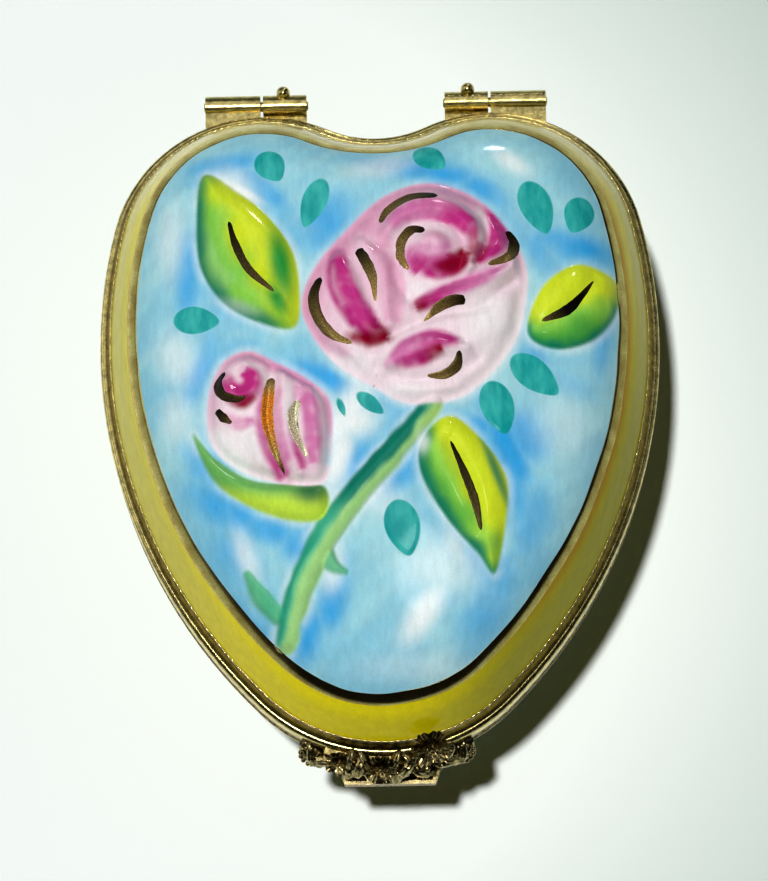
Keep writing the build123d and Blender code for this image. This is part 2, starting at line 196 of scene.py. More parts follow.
def path_gap(x, y, path, halves=None, margin=2.0):
    """Distance to a stroke's edge, or to its middle without half widths, where it is within margin."""
    return near(x, y, path, margin, lambda u, v: to_path(u, v, path, halves)[0])


def path_share(x, y, path, halves, margin=2.0):
    """Share of a stroke's length at each point beside it."""
    return near(x, y, path, margin, lambda u, v: to_path(u, v, path, halves)[1], 0.0)


# ---------------------------------------------------------------- heart outline
def heart_arcs():
    """Centre x, centre y, radius, start, end and sign of the six arcs, anticlockwise from the tip.

    Start and end are in degrees. The sign is -1 for the cleft, which is hollow, and 1 for the others.
    """
    side_x, side_y = WIDTH / 2 - SIDE_R, TIP_Y + WIDEST_AT
    tip_r = (side_x**2 + WIDEST_AT**2 - SIDE_R**2) / (2 * (WIDEST_AT - SIDE_R))
    run, rise = LOBE_X - side_x, LENGTH - WIDEST_AT
    lobe_r = (run**2 + rise**2 - SIDE_R**2) / (2 * (rise - SIDE_R))
    lobe_y = CREST_Y - lobe_r
    down = lobe_r - CLEFT_DEPTH
    cleft_r = (LOBE_X**2 + down**2 - lobe_r**2) / (2 * (lobe_r - down))
    cleft_y = CREST_Y - CLEFT_DEPTH + cleft_r
    tip_y = TIP_Y + tip_r
    low = math.degrees(math.atan2(tip_y - side_y, -side_x))
    high = math.degrees(math.atan2(lobe_y - side_y, run))
    top = math.degrees(math.atan2(cleft_y - lobe_y, -LOBE_X))
    return [
        (0, tip_y, tip_r, -180 - low, low, 1),
        (side_x, side_y, SIDE_R, low, high, 1),
        (LOBE_X, lobe_y, lobe_r, high, top, 1),
        (0, cleft_y, cleft_r, top - 180, -top, -1),
        (-LOBE_X, lobe_y, lobe_r, 180 - top, 180 - high, 1),
        (-side_x, side_y, SIDE_R, 180 - high, 180 - low, 1),
    ]


ARCS = heart_arcs()
ARC_RUNS = np.array([abs(math.radians(end - start)) * r for _, _, r, start, end, _ in ARCS])
GIRTH = float(ARC_RUNS.sum())


def outline(count):
    """Evenly spaced outline points and their inward normals, anticlockwise from the tip's left end."""
    s = np.arange(count) * GIRTH / count
    ends = np.cumsum(ARC_RUNS)
    points, inward = np.zeros((count, 2)), np.zeros((count, 2))
    for k, (cx, cy, r, start, end, sign) in enumerate(ARCS):
        begin = ends[k] - ARC_RUNS[k]
        slack = 1e-9 if k == len(ARCS) - 1 else 0.0  # for rounding at the last arc's end
        here = (s >= begin) & (s < ends[k] + slack)
        a = np.radians(start + (end - start) * (s[here] - begin) / ARC_RUNS[k])
        out = np.c_[np.cos(a), np.sin(a)]
        points[here] = [cx, cy] + r * out
        inward[here] = -sign * out
    return points, inward


def inset_of(x, y):
    """Distance inside the outline."""
    best = np.full(x.shape, FAR_INSIDE)
    for cx, cy, r, start, end, sign in ARCS:
        middle = math.radians((start + end) / 2)
        half = abs(math.radians(end - start)) / 2 + 0.01
        turn = np.angle(np.exp(1j * (np.arctan2(y - cy, x - cx) - middle)))
        gap = sign * (r - np.hypot(x - cx, y - cy))
        best = np.where(np.abs(turn) <= half, np.minimum(best, gap), best)
    return best


# ---------------------------------------------------------------- plain dome
def crown(x, y, depth=0.0):
    """Level of the dome without its wall, or of a surface depth below it."""
    rx, ry = CROWN_RX - depth, CROWN_RY - depth
    rho = ry - rx + np.sqrt(rx**2 - x**2)
    return CROWN_Z - depth - ry + np.sqrt(rho**2 - (y - CENTRE_Y) ** 2)


def dome(x, y, inset, foot_in, foot_level, shoulder, depth=0.0):
    """Level of a sloping wall that rounds over into the dome."""
    top = crown(x, y, depth)
    lean = math.atan(WALL_SLOPE)
    at_centre = foot_in + (top - shoulder - foot_level) / WALL_SLOPE + shoulder / math.sin(lean)
    wall = foot_level + (inset - foot_in) * WALL_SLOPE
    rounded = top - shoulder + np.sqrt(np.maximum(shoulder**2 - (at_centre - inset) ** 2, 0))
    level = np.where(inset < at_centre - shoulder * math.sin(lean), wall, rounded)
    return np.where(inset > at_centre, top, level)


def lid_outside(x, y, inset):
    """Level of the lid's outside without the moulded spray."""
    return dome(x, y, inset, WALL_IN, WALL_FOOT, SHOULDER_R)


# ---------------------------------------------------------------- motifs, drawn on the plan
ROSE = spline(
    [(5.1, 19.1), (9.6, 17.0), (12.8, 12.0), (12.9, 7.9), (11.6, 3.7), (7.7, -0.6), (3.0, -1.6), (-0.5, 0.0),
     (-4.3, 2.8), (-6.6, 7.2), (-5.6, 11.0), (-2.5, 14.9), (0.9, 18.0)], True
)
BUD = spline(
    [(-11.4, 3.8), (-8.9, 2.6), (-6.3, 1.0), (-4.4, -0.9), (-4.1, -4.2), (-4.8, -8.2), (-8.4, -8.3),
     (-12.4, -6.8), (-14.6, -4.4), (-14.9, -0.6), (-13.7, 2.7)], True
)
SEPAL = spline(
    [(-16.2, -3.4), (-14.3, -5.7), (-11.2, -7.8), (-7.4, -8.4), (-5.0, -8.6), (-4.5, -10.2), (-5.4, -11.6),
     (-8.3, -11.4), (-11.9, -9.8), (-14.6, -7.4)], True
)
LEAF_BACK = spline(
    [(-15.3, 20.9), (-12.2, 19.0), (-9.4, 16.2), (-7.4, 12.9), (-6.8, 9.2), (-7.2, 5.8), (-10.0, 6.2),
     (-13.4, 8.3), (-15.5, 11.8), (-15.9, 16.2)], True
)
LEAF_SIDE = spline(
    [(13.2, 4.5), (13.1, 6.6), (14.6, 9.7), (17.2, 11.6), (19.6, 11.4), (21.2, 10.2), (20.7, 7.2),
     (18.6, 4.6), (15.6, 3.6)], True
)
LEAF_FRONT = spline(
    [(4.4, -3.5), (6.2, -2.6), (8.2, -4.1), (10.3, -6.9), (10.9, -9.8), (9.7, -16.2), (8.1, -14.6),
     (5.6, -11.7), (3.6, -8.2), (3.3, -5.6)], True
)
VEIN_BACK = [(-13.0, 16.0), (-12.4, 13.7), (-11.2, 11.2), (-9.0, 9.0)]
VEIN_SIDE = [(19.0, 10.3), (17.8, 8.6), (16.4, 7.1), (14.2, 6.1)]
VEIN_FRONT = [(6.0, -4.9), (7.1, -7.6), (8.0, -10.2), (8.5, -12.8)]
STEM = spline(
    [(4.6, -1.2), (3.4, -3.0), (1.0, -5.8), (-2.4, -9.6), (-4.9, -13.0), (-6.9, -17.0), (-8.4, -21.6)]
)
STEM_HALF = [0.9, 1.05, 1.2, 1.25, 1.15, 1.0]
THORNS = [
    (spline([(-5.0, -14.6), (-4.2, -15.6), (-3.2, -16.1)]), [0.9, 0.6, 0.25]),
    (spline([(-11.6, -15.9), (-10.6, -17.7), (-9.0, -19.6)]), [0.35, 0.8, 0.7]),
]
# leaves with their veins and heights
LEAVES = [(LEAF_BACK, VEIN_BACK, 0.85), (LEAF_SIDE, VEIN_SIDE, 0.75), (LEAF_FRONT, VEIN_FRONT, 0.8)]

ROSE_HEART = (5.0, 12.3)

# rolled edges of the petals: points along the roll, half widths, height
ROSE_ROLLS = [
    ([(0.9, 14.0), (2.6, 16.0), (5.0, 16.6), (7.4, 15.6), (8.6, 13.4), (8.0, 10.8)],
     [0.8, 1.2, 1.3, 1.2, 1.0, 0.7], 0.75),
    ([(-0.4, 16.4), (2.2, 18.1), (5.6, 18.3), (8.8, 16.9)], [0.5, 0.9, 1.0, 0.6], 0.35),
    ([(-3.4, 11.8), (-2.6, 8.6), (-1.2, 5.6), (0.4, 4.0)], [0.9, 1.4, 1.3, 0.7], 0.6),
    ([(-1.4, 13.2), (0.4, 10.4), (0.8, 7.2), (1.0, 5.4)], [0.7, 1.0, 0.9, 0.5], 0.5),
    ([(-5.8, 10.6), (-6.0, 7.6), (-4.6, 4.6), (-1.8, 2.6)], [0.6, 0.9, 0.9, 0.5], 0.35),
    ([(10.4, 16.0), (11.0, 13.8), (9.6, 11.6), (7.8, 10.2)], [0.7, 1.0, 0.9, 0.5], 0.5),
    ([(12.2, 12.6), (11.4, 10.6), (8.2, 8.8), (3.8, 7.3)], [0.6, 0.8, 0.9, 0.6], 0.55),
    ([(11.2, 8.2), (10.2, 5.6), (8.2, 3.9)], [0.8, 1.4, 0.8], 0.2),
    ([(0.4, 1.4), (2.8, 2.9), (5.4, 3.4), (7.6, 3.2)], [0.6, 1.2, 1.2, 0.6], 0.55),
    ([(-0.6, 0.2), (3.2, -0.9), (7.0, -0.1)], [0.5, 0.9, 0.5], 0.3),
]
# creases between the petals: points along the crease, half width, depth
ROSE_CREASES = [
    ([(-0.6, 3.4), (2.4, 5.2), (5.4, 6.4), (9.0, 7.2), (11.8, 9.6)], 0.55, 0.4),
    ([(1.6, 12.6), (1.7, 9.6), (2.6, 7.9)], 0.5, 0.35),
    ([(9.4, 15.6), (9.7, 13.4), (8.6, 11.0)], 0.35, 0.3),
    ([(-0.2, 1.6), (2.4, 0.6), (6.0, 0.9), (8.6, 2.4)], 0.5, 0.3),
]
BUD_ROLLS = [
    ([(-13.6, 0.9), (-12.6, -0.5), (-11.2, -0.3), (-10.6, 1.2), (-11.6, 2.4)],
     [0.6, 0.8, 0.8, 0.7, 0.5], 0.5),
    ([(-13.9, -1.9), (-12.8, -3.2), (-11.0, -3.0)], [0.5, 0.7, 0.5], 0.3),
    ([(-8.2, 1.6), (-8.3, -2.0), (-7.9, -5.2), (-6.9, -7.6)], [0.7, 0.8, 0.8, 0.5], 0.4),
    ([(-6.0, 0.2), (-5.6, -3.0), (-5.4, -6.6)], [0.6, 0.9, 0.6], 0.4),
    ([(-10.9, -4.4), (-10.2, -6.4), (-8.8, -7.6)], [0.8, 0.9, 0.5], 0.3),
]
BUD_CREASES = [
    ([(-9.3, 1.8), (-9.6, -1.0), (-9.6, -3.4), (-8.4, -7.6)], 0.45, 0.45),
    ([(-7.0, -0.8), (-7.3, -3.0), (-6.2, -6.6)], 0.35, 0.35),
]
# enamel drops: centre, length, width, heading of the pointed end in degrees
DROPS = [
    ((-9.3, 21.3), 3.2, 2.5, -60), ((-5.5, 17.5), 4.7, 2.1, -110), ((4.8, 21.8), 3.2, 2.3, -40),
    ((14.1, 17.0), 5.1, 2.8, -72), ((17.8, 16.5), 3.6, 2.5, -110), ((-15.9, 7.0), 3.9, 2.4, -8),
    ((13.5, 1.2), 4.9, 2.7, -40), ((10.2, -1.8), 4.7, 2.8, -75), ((1.8, -12.4), 4.8, 2.9, -78),
    ((-0.8, -1.4), 2.7, 1.2, -40), ((-3.3, -1.7), 1.5, 0.5, -70),
]


def turned(x, y, middle, degrees):
    """Places along and across an axis through the middle that is turned by some degrees."""
    a = math.radians(degrees)
    dx, dy = x - middle[0], y - middle[1]
    return dx * math.cos(a) + dy * math.sin(a), dy * math.cos(a) - dx * math.sin(a)


def drop_distance(x, y, centre, length, width, heading):
    """Signed distance, roughly, to an egg whose narrow end points along heading."""
    u, v = turned(x, y, centre, heading)
    along = np.clip(u / (length / 2), -1.6, 1.6)
    half = width / 2 * (1 - 0.2 * along - 0.16 * along**2)
    return (np.hypot(along, v / np.maximum(half, 0.05)) - 1) * width / 2


def all_drops(x, y):
    """Signed distance to the nearest enamel drop."""
    gap = np.full(x.shape, FAR)
    for centre, length, width, heading in DROPS:
        gap = np.minimum(gap, drop_distance(x, y, centre, length, width, heading))
    return gap


def within(gap, soft=0.2):
    """1 inside a shape and 0 outside it, blurred by soft to either side."""
    return smooth(soft, -soft, gap)


def swelling(gap, height, soft):
    """Cushion-shaped height inside a shape, with round edges soft wide."""
    t = np.clip(-gap / soft, 0, 1)
    return height * (1 - (1 - t) ** 2.2)


def add_rolls(x, y, level, rolls, creases):
    """Raises the petals' rolled edges and sinks the creases between them."""
    for points, halves, height in rolls:
        gap = path_gap(x, y, spline(points), halves, 2.5)
        level = level + height * smooth(0.25, -0.9, gap)
    for points, half, depth in creases:
        gap = path_gap(x, y, spline(points))
        level = level - depth * np.exp(-((gap / half) ** 2))
    return level


def leaf_relief(x, y, loop, vein, tall):
    """Height of one leaf, folded along its vein."""
    gap = loop_gap(x, y, loop)
    fold = path_gap(x, y, spline(vein))
    return swelling(gap, tall, 2.4) - 0.3 * np.exp(-((fold / 0.7) ** 2)) * smooth(0, -1, gap)


def bud_relief(x, y):
    """Height of the bud, a cushion with rolled petals."""
    bud = loop_gap(x, y, BUD)
    return add_rolls(x, y, swelling(bud, 1.0, 2.4), BUD_ROLLS, BUD_CREASES) * smooth(0.0, -0.9, bud)


def rose_relief(x, y):
    """Height of the rose: its cushion, its petals and the coiled bulb at its heart."""
    rose = loop_gap(x, y, ROSE)
    height = add_rolls(x, y, swelling(rose, 1.15, 4.4), ROSE_ROLLS, ROSE_CREASES)
    heart_x, heart_y = ROSE_HEART
    reach = np.hypot(x - heart_x, y - heart_y)
    coil = np.cos(np.arctan2(y - heart_y, x - heart_x) - reach * 2.4)
    height = height + 1.1 * smooth(3.0, 0.6, reach) + 0.12 * coil * smooth(2.8, 1.6, reach)
    return height * smooth(0.1, -1.3, rose)


def relief(x, y):
    """Height of the moulded spray above the plain dome."""
    heights = [swelling(path_gap(x, y, STEM, STEM_HALF), 0.6, 1.2)]
    heights += [swelling(path_gap(x, y, path, halves), 0.35, 0.5) for path, halves in THORNS]
    heights += [leaf_relief(x, y, *leaf) for leaf in LEAVES]
    heights += [swelling(loop_gap(x, y, SEPAL), 0.75, 1.3), bud_relief(x, y), rose_relief(x, y)]
    return np.maximum.reduce(heights) + 0.05 * smooth(0.05, -0.25, all_drops(x, y))


def lid_level(x, y):
    """Level of the lid's outside, with the spray kept clear of the burnished line."""
    inset = inset_of(x, y)
    return lid_outside(x, y, inset) + relief(x, y) * smooth(3.4, 4.4, inset)


# ---------------------------------------------------------------- painting
WASH = rgb(148, 205, 223)
PALE_WASH = rgb(174, 220, 227)
DEEP_WASH = rgb(52, 170, 228)
WHITE = rgb(243, 246, 243)
# the band's yellow, its painted lit tone and its painted shaded tone
YELLOW, LIT_YELLOW, DIM_YELLOW = rgb(240, 226, 8), rgb(234, 226, 112), rgb(194, 188, 22)
TEAL, PALE_TEAL = rgb(14, 160, 158), rgb(80, 198, 188)
LIME, YOUNG, GREEN = rgb(216, 230, 58), rgb(152, 212, 92), rgb(52, 160, 72)
SAGE, SHADE_GREEN = rgb(176, 220, 150), rgb(12, 134, 110)
BLUSH, PINK = rgb(242, 224, 230), rgb(228, 172, 198)
MAGENTA, CRIMSON, MAUVE = rgb(198, 60, 142), rgb(152, 6, 52), rgb(216, 134, 182)

# pools of strong blue: centre, radius along x and y, turn in degrees, strength
POOLS = [
    (4.0, 20.6, 5.0, 1.0, -12, 0.9), (9.4, 18.6, 2.2, 1.1, -30, 0.8), (-4.4, 15.6, 1.6, 2.6, -35, 0.75),
    (-13.2, 21.9, 2.8, 0.9, 0, 0.75), (-10.0, 19.2, 3.0, 0.9, -45, 0.7), (-16.7, 11.2, 0.9, 3.6, 0, 0.85),
    (17.6, 13.4, 3.4, 1.3, -8, 0.85), (14.6, 13.0, 1.2, 2.4, 10, 0.5), (10.9, -5.4, 1.3, 3.8, 22, 0.95),
    (11.8, -9.0, 0.9, 3.2, 6, 0.7), (8.3, -3.4, 1.6, 0.8, -25, 0.8), (-13.4, -10.2, 3.4, 1.3, -35, 0.9),
    (-10.0, -12.2, 2.2, 1.2, -20, 0.85), (-7.2, -13.6, 1.5, 1.5, 0, 0.7), (-15.6, 2.2, 0.9, 2.8, -20, 0.75),
    (-4.6, 1.0, 2.6, 0.9, -32, 0.85), (-2.4, -1.2, 1.0, 1.0, 0, 0.5), (-2.2, -6.6, 1.1, 2.2, -40, 0.7),
    (1.9, -7.8, 0.9, 2.2, -45, 0.75), (-4.2, -18.6, 1.1, 2.6, -15, 0.8), (-6.4, -21.4, 1.2, 1.8, -20, 0.8),
    (-11.6, -20.4, 1.0, 2.6, 30, 0.75), (13.4, 2.6, 1.1, 1.1, 0, 0.6), (-12.6, -14.0, 2.0, 2.4, 30, 0.5),
    (15.8, 0.6, 2.6, 1.0, -20, 0.4), (9.0, -18.8, 1.6, 3.2, -30, 0.6), (12.5, -4.4, 2.0, 2.2, 10, 0.8),
    (13.0, -11.5, 1.6, 3.2, -12, 0.5), (-14.2, 14.8, 1.2, 4.0, 15, 0.3), (-14.8, -6.6, 1.4, 2.6, 25, 0.6),
    (19.6, 4.4, 0.8, 2.6, -8, 0.6), (7.9, -15.2, 1.0, 2.0, 20, 0.45),
]
# pale places of the wash, in the same terms; those at (3.4, -19.8) and (12.0, 21.4) are painted highlights of
# the glaze
PALE_PAINT_AND_HIGHLIGHTS = [
    (12.0, 21.4, 1.7, 0.8, -35, 0.8), (-12.6, 19.4, 1.5, 2.2, 40, 0.7), (-2.7, -2.4, 1.3, 3.4, -25, 1.0),
    (-4.2, -15.8, 0.9, 1.8, -10, 0.8), (-11.6, -14.6, 0.8, 2.4, 20, 0.7), (3.4, -19.8, 1.1, 2.8, -35, 0.95),
    (-3.5, -6.0, 0.9, 3.0, -14, 1.0), (-2.3, -2.8, 1.8, 1.4, 0, 1.0), (15.6, -3.4, 2.6, 2.4, 10, 0.3),
    (-18.2, 14.8, 1.3, 3.4, 0, 0.5), (-17.6, 3.6, 1.6, 2.6, 20, 0.6), (0.4, 21.0, 2.6, 1.1, 10, 0.6),
    (5.2, -15.8, 3.2, 2.2, 0, 0.45), (-0.4, -9.6, 2.4, 1.4, -30, 0.5), (-17.6, -1.6, 1.4, 2.2, 0, 0.5),
    (2.5, -24.2, 4.5, 1.2, 0, 0.3),
]
# strokes of colour on the petals: points, half widths, colour at the start and at the end, strength
ROSE_STROKES = [
    ([(0.6, 14.2), (2.4, 15.6), (4.6, 16.1), (6.6, 15.6), (8.2, 14.4)],
     [0.5, 0.95, 1.05, 1.0, 0.8], MAUVE, MAGENTA, 0.95),
    ([(6.8, 15.5), (8.4, 14.3), (8.8, 12.9), (8.4, 11.5)], [0.5, 0.9, 0.8, 0.4], MAGENTA, CRIMSON, 0.7),
    ([(2.9, 12.3), (3.1, 11.2), (3.9, 10.4)], [0.35, 0.7, 0.8], MAUVE, MAGENTA, 0.9),
    ([(3.6, 11.1), (5.0, 10.5), (6.9, 11.0), (7.8, 12.1)], [0.6, 0.95, 1.0, 0.5], MAGENTA, CRIMSON, 0.98),
    ([(5.2, 10.6), (6.4, 10.7), (7.3, 11.4)], [0.35, 0.6, 0.4], CRIMSON, CRIMSON, 0.85),
    ([(10.2, 17.0), (10.9, 15.2), (10.4, 13.2), (8.6, 10.9)], [0.8, 1.15, 0.9, 0.25], MAGENTA, MAGENTA, 0.98),
    ([(9.6, 12.8), (9.0, 11.6), (8.2, 10.8)], [0.2, 0.3, 0.15], CRIMSON, CRIMSON, 0.8),
    ([(11.2, 11.0), (9.0, 9.6), (6.6, 8.6), (4.6, 7.8), (3.2, 7.0)],
     [0.2, 0.62, 0.7, 0.62, 0.4], MAUVE, MAGENTA, 0.95),
    ([(5.8, 7.9), (4.6, 7.4), (3.2, 6.9)], [0.25, 0.5, 0.4], MAGENTA, CRIMSON, 0.95),
    ([(-3.5, 12.2), (-3.3, 9.8), (-2.5, 7.6), (-1.2, 5.6)], [0.7, 1.1, 1.2, 1.15], MAGENTA, MAGENTA, 0.95),
    ([(-1.8, 6.6), (-0.6, 5.0), (0.8, 4.2)], [0.9, 1.0, 0.6], MAGENTA, CRIMSON, 0.95),
    ([(-2.6, 4.5), (-0.8, 4.0), (1.0, 4.2)], [0.35, 0.5, 0.3], CRIMSON, CRIMSON, 0.9),
    ([(-3.9, 11.0), (-3.7, 9.0), (-2.9, 7.0)], [0.15, 0.25, 0.15], PINK, PINK, 0.7),
    ([(-0.9, 13.4), (1.0, 10.6), (1.4, 7.8), (1.2, 5.4)], [0.5, 0.85, 0.95, 0.7], PINK, PINK, 0.85),
    ([(0.8, 1.8), (2.8, 3.1), (4.9, 3.9), (7.0, 3.7)], [0.3, 1.05, 1.0, 0.35], MAUVE, MAGENTA, 0.98),
    ([(1.8, 1.7), (3.6, 2.2), (5.6, 3.1)], [0.3, 0.65, 0.4], MAGENTA, CRIMSON, 0.9),
    ([(-1.6, 15.6), (0.2, 14.2), (0.6, 12.4)], [0.6, 0.8, 0.5], PINK, PINK, 0.8),
    ([(1.2, 17.9), (4.8, 18.3), (8.6, 17.2)], [0.5, 0.7, 0.5], PINK, PINK, 0.75),
    ([(9.0, 16.6), (9.4, 14.6), (9.2, 12.8)], [0.25, 0.4, 0.3], BLUSH, BLUSH, 0.9),
    ([(2.6, 14.6), (5.0, 14.3), (6.6, 13.3)], [0.3, 0.55, 0.35], BLUSH, BLUSH, 0.7),
    ([(4.0, 12.6), (4.8, 13.2), (5.8, 12.9), (6.2, 12.0)], [0.4, 0.5, 0.5, 0.3], PINK, MAUVE, 0.7),
    ([(3.4, 12.2), (4.5, 11.7), (6.0, 11.9)], [0.5, 0.8, 0.5], MAUVE, MAUVE, 0.6),
    ([(-6.0, 9.6), (-6.1, 7.2), (-4.6, 4.4), (-2.4, 2.8)], [0.4, 0.5, 0.5, 0.4], PINK, PINK, 0.6),
]
BUD_STROKES = [
    ([(-13.3, 1.2), (-12.7, 0.1), (-11.8, -0.4)], [0.5, 0.8, 0.8], MAGENTA, MAGENTA, 0.85),
    ([(-12.6, -0.5), (-11.4, -0.2), (-11.0, 0.9), (-11.7, 1.7)],
     [0.7, 0.9, 0.8, 0.5], MAGENTA, MAGENTA, 0.95),
    ([(-12.9, -1.0), (-11.8, -1.3), (-10.7, -0.6)], [0.2, 0.4, 0.25], CRIMSON, CRIMSON, 0.85),
    ([(-13.3, -2.3), (-12.2, -3.0), (-10.8, -2.8)], [0.4, 0.6, 0.25], PINK, MAUVE, 0.8),
    ([(-9.9, -0.2), (-10.1, -2.8), (-9.5, -5.4), (-8.2, -8.0)], [0.4, 0.6, 0.7, 0.6], MAUVE, MAGENTA, 0.9),
    ([(-8.6, 0.6), (-8.8, -2.4), (-8.4, -5.0), (-7.8, -6.8)], [0.3, 0.45, 0.5, 0.4], PINK, MAUVE, 0.8),
    ([(-6.8, -0.2), (-6.0, -1.8), (-5.8, -4.2), (-5.8, -7.0)], [0.7, 0.75, 0.75, 0.5], MAUVE, MAUVE, 0.9),
    ([(-7.6, -3.0), (-7.3, -5.2), (-6.6, -7.4)], [0.25, 0.35, 0.35], MAUVE, MAGENTA, 0.85),
    ([(-13.4, 3.0), (-10.8, 3.5), (-8.0, 2.1), (-5.4, 0.4)], [0.6, 0.9, 0.8, 0.6], PINK, MAUVE, 0.85),
    ([(-4.5, -0.8), (-4.1, -3.4), (-4.5, -7.0)], [0.4, 0.5, 0.4], MAUVE, PALE_WASH, 0.6),
    ([(-14.2, -3.6), (-13.0, -5.6), (-11.4, -6.8)], [0.4, 0.5, 0.4], WHITE, WHITE, 0.6),
]


def blots(x, y, spots):
    """Strength of soft elliptical spots."""
    total = np.zeros(x.shape)
    for cx, cy, rx, ry, turn, strength in spots:
        u, v = turned(x, y, (cx, cy), turn)
        total = np.maximum(total, strength * np.exp(-0.7 * ((u / rx) ** 2 + (v / ry) ** 2) ** 1.3))
    return total


def paint_wash(x, y, motifs):
    """Watercolour ground: streaky pale blue, strong blue pools, pale places with two painted highlights among
    them, and white halos beside the motifs.
    """
    streak = cloud(x * 0.8 + y * 0.6, (y * 0.8 - x * 0.6) * 3.2, 2.6, 3)
    tone = 0.5 * cloud(x, y, 7.0, 4) + 0.3 * cloud(x, y, 2.8, 5) + 0.2 * streak
    ground = mix(WASH, PALE_WASH, smooth(0.3, 0.75, tone))
    ground = mix(ground, DEEP_WASH, 0.3 * smooth(2.6, 0.4, motifs) * smooth(0.35, 0.7, cloud(x, y, 3.4, 6)))
    wobble = 0.75 + 0.5 * cloud(x, y, 1.6, 7)
    ground = mix(ground, DEEP_WASH, np.clip(0.95 * blots(x, y, POOLS) * wobble, 0, 1))
    # pale places of paint, with two painted highlights of the glaze
    ground = mix(ground, WHITE, np.clip(blots(x, y, PALE_PAINT_AND_HIGHLIGHTS), 0, 1) * 0.9)
    halo = smooth(0.9, 0.0, motifs) * (0.35 + 0.65 * smooth(0.3, 0.6, cloud(x, y, 2.2, 8)))
    return mix(ground, WHITE, 0.38 * halo)


def paint_strokes(x, y, colour, strokes):
    """Lays strokes of wet colour that feather out at their edges and their last end."""
    for points, halves, first, last, strength in strokes:
        path = spline(points)
        wet = path_gap(x, y, path, halves)
        along = path_share(x, y, path, halves)
        grain = 0.78 + 0.44 * cloud(x * 0.7 + y * 0.7, (y - x) * 0.7, 0.6, 11)
        laid = smooth(0.4, -0.34, wet) * (0.55 + 0.45 * smooth(0.0, 0.14, along)) * smooth(1.03, 0.94, along)
        tint = mix(first, last, smooth(0.2, 0.95, along))
        colour = mix(colour, tint, np.clip(laid * strength * grain, 0, 1))
    return colour


def paint_leaf(x, y, colour, loop, shade_side, deep, edge):
    """Lime leaf, greener on one side with a dark edge there. shade_side is that side's heading in degrees."""
    gap = loop_gap(x, y, loop, 1.5)
    middle = loop.mean(0)
    reach = np.abs(turned(*loop.T, middle, shade_side)[0]).max()
    side = turned(x, y, middle, shade_side)[0] / reach + 0.4 * (cloud(x, y, 2.0, 21) - 0.5)
    body = mix(LIME, YOUNG, smooth(-0.2, 0.4, side))
    body = mix(body, GREEN, deep * smooth(0.25, 0.8, side))
    body = mix(body, SAGE, (1 - deep) * 0.7 * smooth(0.45, 0.8, side))
    rim = smooth(-edge, -0.1, gap + 0.5 * (cloud(x, y, 1.2, 22) - 0.5))
    dark = mix(GREEN, SHADE_GREEN, smooth(-0.2, 0.4, side))
    body = mix(body, dark, 0.9 * rim * smooth(-0.45, 0.3, side))
    return mix(colour, body, smooth(0.15, -0.2, gap))


def motif_gap(x, y):
    """Distance to the nearest motif of the spray."""
    gap = path_gap(x, y, STEM, STEM_HALF, BESIDE)
    for loop in (ROSE, BUD, SEPAL, LEAF_BACK, LEAF_SIDE, LEAF_FRONT):
        gap = np.minimum(gap, loop_gap(x, y, loop, BESIDE))
    return gap


def paint_stem(x, y, colour):
    """Stem with thorns: dark on its upper left flank, pale lime on its lower right one."""
    for path, halves in THORNS:
        colour = mix(colour, rgb(96, 192, 136), within(path_gap(x, y, path, halves), 0.25) * 0.85)
    stem = path_gap(x, y, STEM, STEM_HALF, BESIDE) + 0.35 * (cloud(x, y, 1.3, 12) - 0.5)
    along = path_share(x, y, STEM, STEM_HALF, BESIDE)
    steps = np.linspace(0, 1, len(STEM))
    leftwards = np.interp(along, steps, STEM[:, 0]) - x
    upwards = y - np.interp(along, steps, STEM[:, 1])
    across = leftwards * 0.78 + upwards * 0.62 + 0.5 * (cloud(x * 0.4, y * 0.4, 0.7, 13) - 0.5)
    flank = mix(rgb(176, 222, 150), rgb(88, 190, 158), smooth(-0.35, 0.45, across))
    flank = mix(flank, rgb(206, 226, 120), 0.5 * smooth(0.0, -0.8, across) * smooth(0.2, 0.0, along))
    dark = smooth(-0.35, 0.15, across) * smooth(0.0, 0.06, along) * smooth(0.6, 0.42, along)
    flank = mix(flank, rgb(10, 132, 112), 0.95 * dark)
    flank = mix(flank, rgb(44, 160, 130), 0.7 * smooth(0.2, 0.6, across) * smooth(0.55, 0.7, along))
    return mix(colour, flank, within(stem, 0.25))


def paint_sepal(x, y, colour):
    """Grey-green above, lime below, and dark by the stem."""
    rise = smooth(-0.9, 0.7, (y + 9.3) - 0.0352 * (x + 9.5) ** 2 + 0.10 * (x + 9.5))
    cup = mix(rgb(204, 232, 88), rgb(124, 188, 108), rise)
    cup = mix(cup, rgb(30, 112, 78), blots(x, y, [(-6.0, -9.3, 1.3, 0.9, 0, 0.85)]))
    cup = mix(cup, rgb(126, 190, 110), smooth(-13.0, -15.5, x))
    return mix(colour, cup, within(loop_gap(x, y, SEPAL, BESIDE)))


def paint_leaves(x, y, colour):
    """The three leaves, with dark blots inside their edges and white ones beside them."""
    colour = paint_leaf(x, y, colour, LEAF_BACK, 205, 0.25, 1.5)
    dark = blots(x, y, [(-8.4, 11.6, 0.9, 3.2, 8, 1.0), (-8.7, 8.2, 0.7, 1.6, 20, 0.95)])
    colour = mix(colour, GREEN, dark * smooth(0.1, -0.3, loop_gap(x, y, LEAF_BACK)))
    light = blots(x, y, [(-11.8, 19.0, 0.35, 1.8, 55, 0.8), (-12.2, 7.9, 1.8, 0.5, -25, 0.3)])
    colour = mix(colour, WHITE, light)
    colour = paint_leaf(x, y, colour, LEAF_SIDE, -75, 0.9, 1.0)
    colour = paint_leaf(x, y, colour, LEAF_FRONT, 205, 0.8, 1.3)
    dark = blots(x, y, [(9.9, -7.6, 0.4, 3.2, 20, 0.8)])
    colour = mix(colour, SHADE_GREEN, dark * within(loop_gap(x, y, LEAF_FRONT)))
    return mix(colour, WHITE, blots(x, y, [(3.7, -5.0, 0.5, 0.9, 0, 0.7), (6.2, -14.0, 0.5, 1.6, 30, 0.4)]))


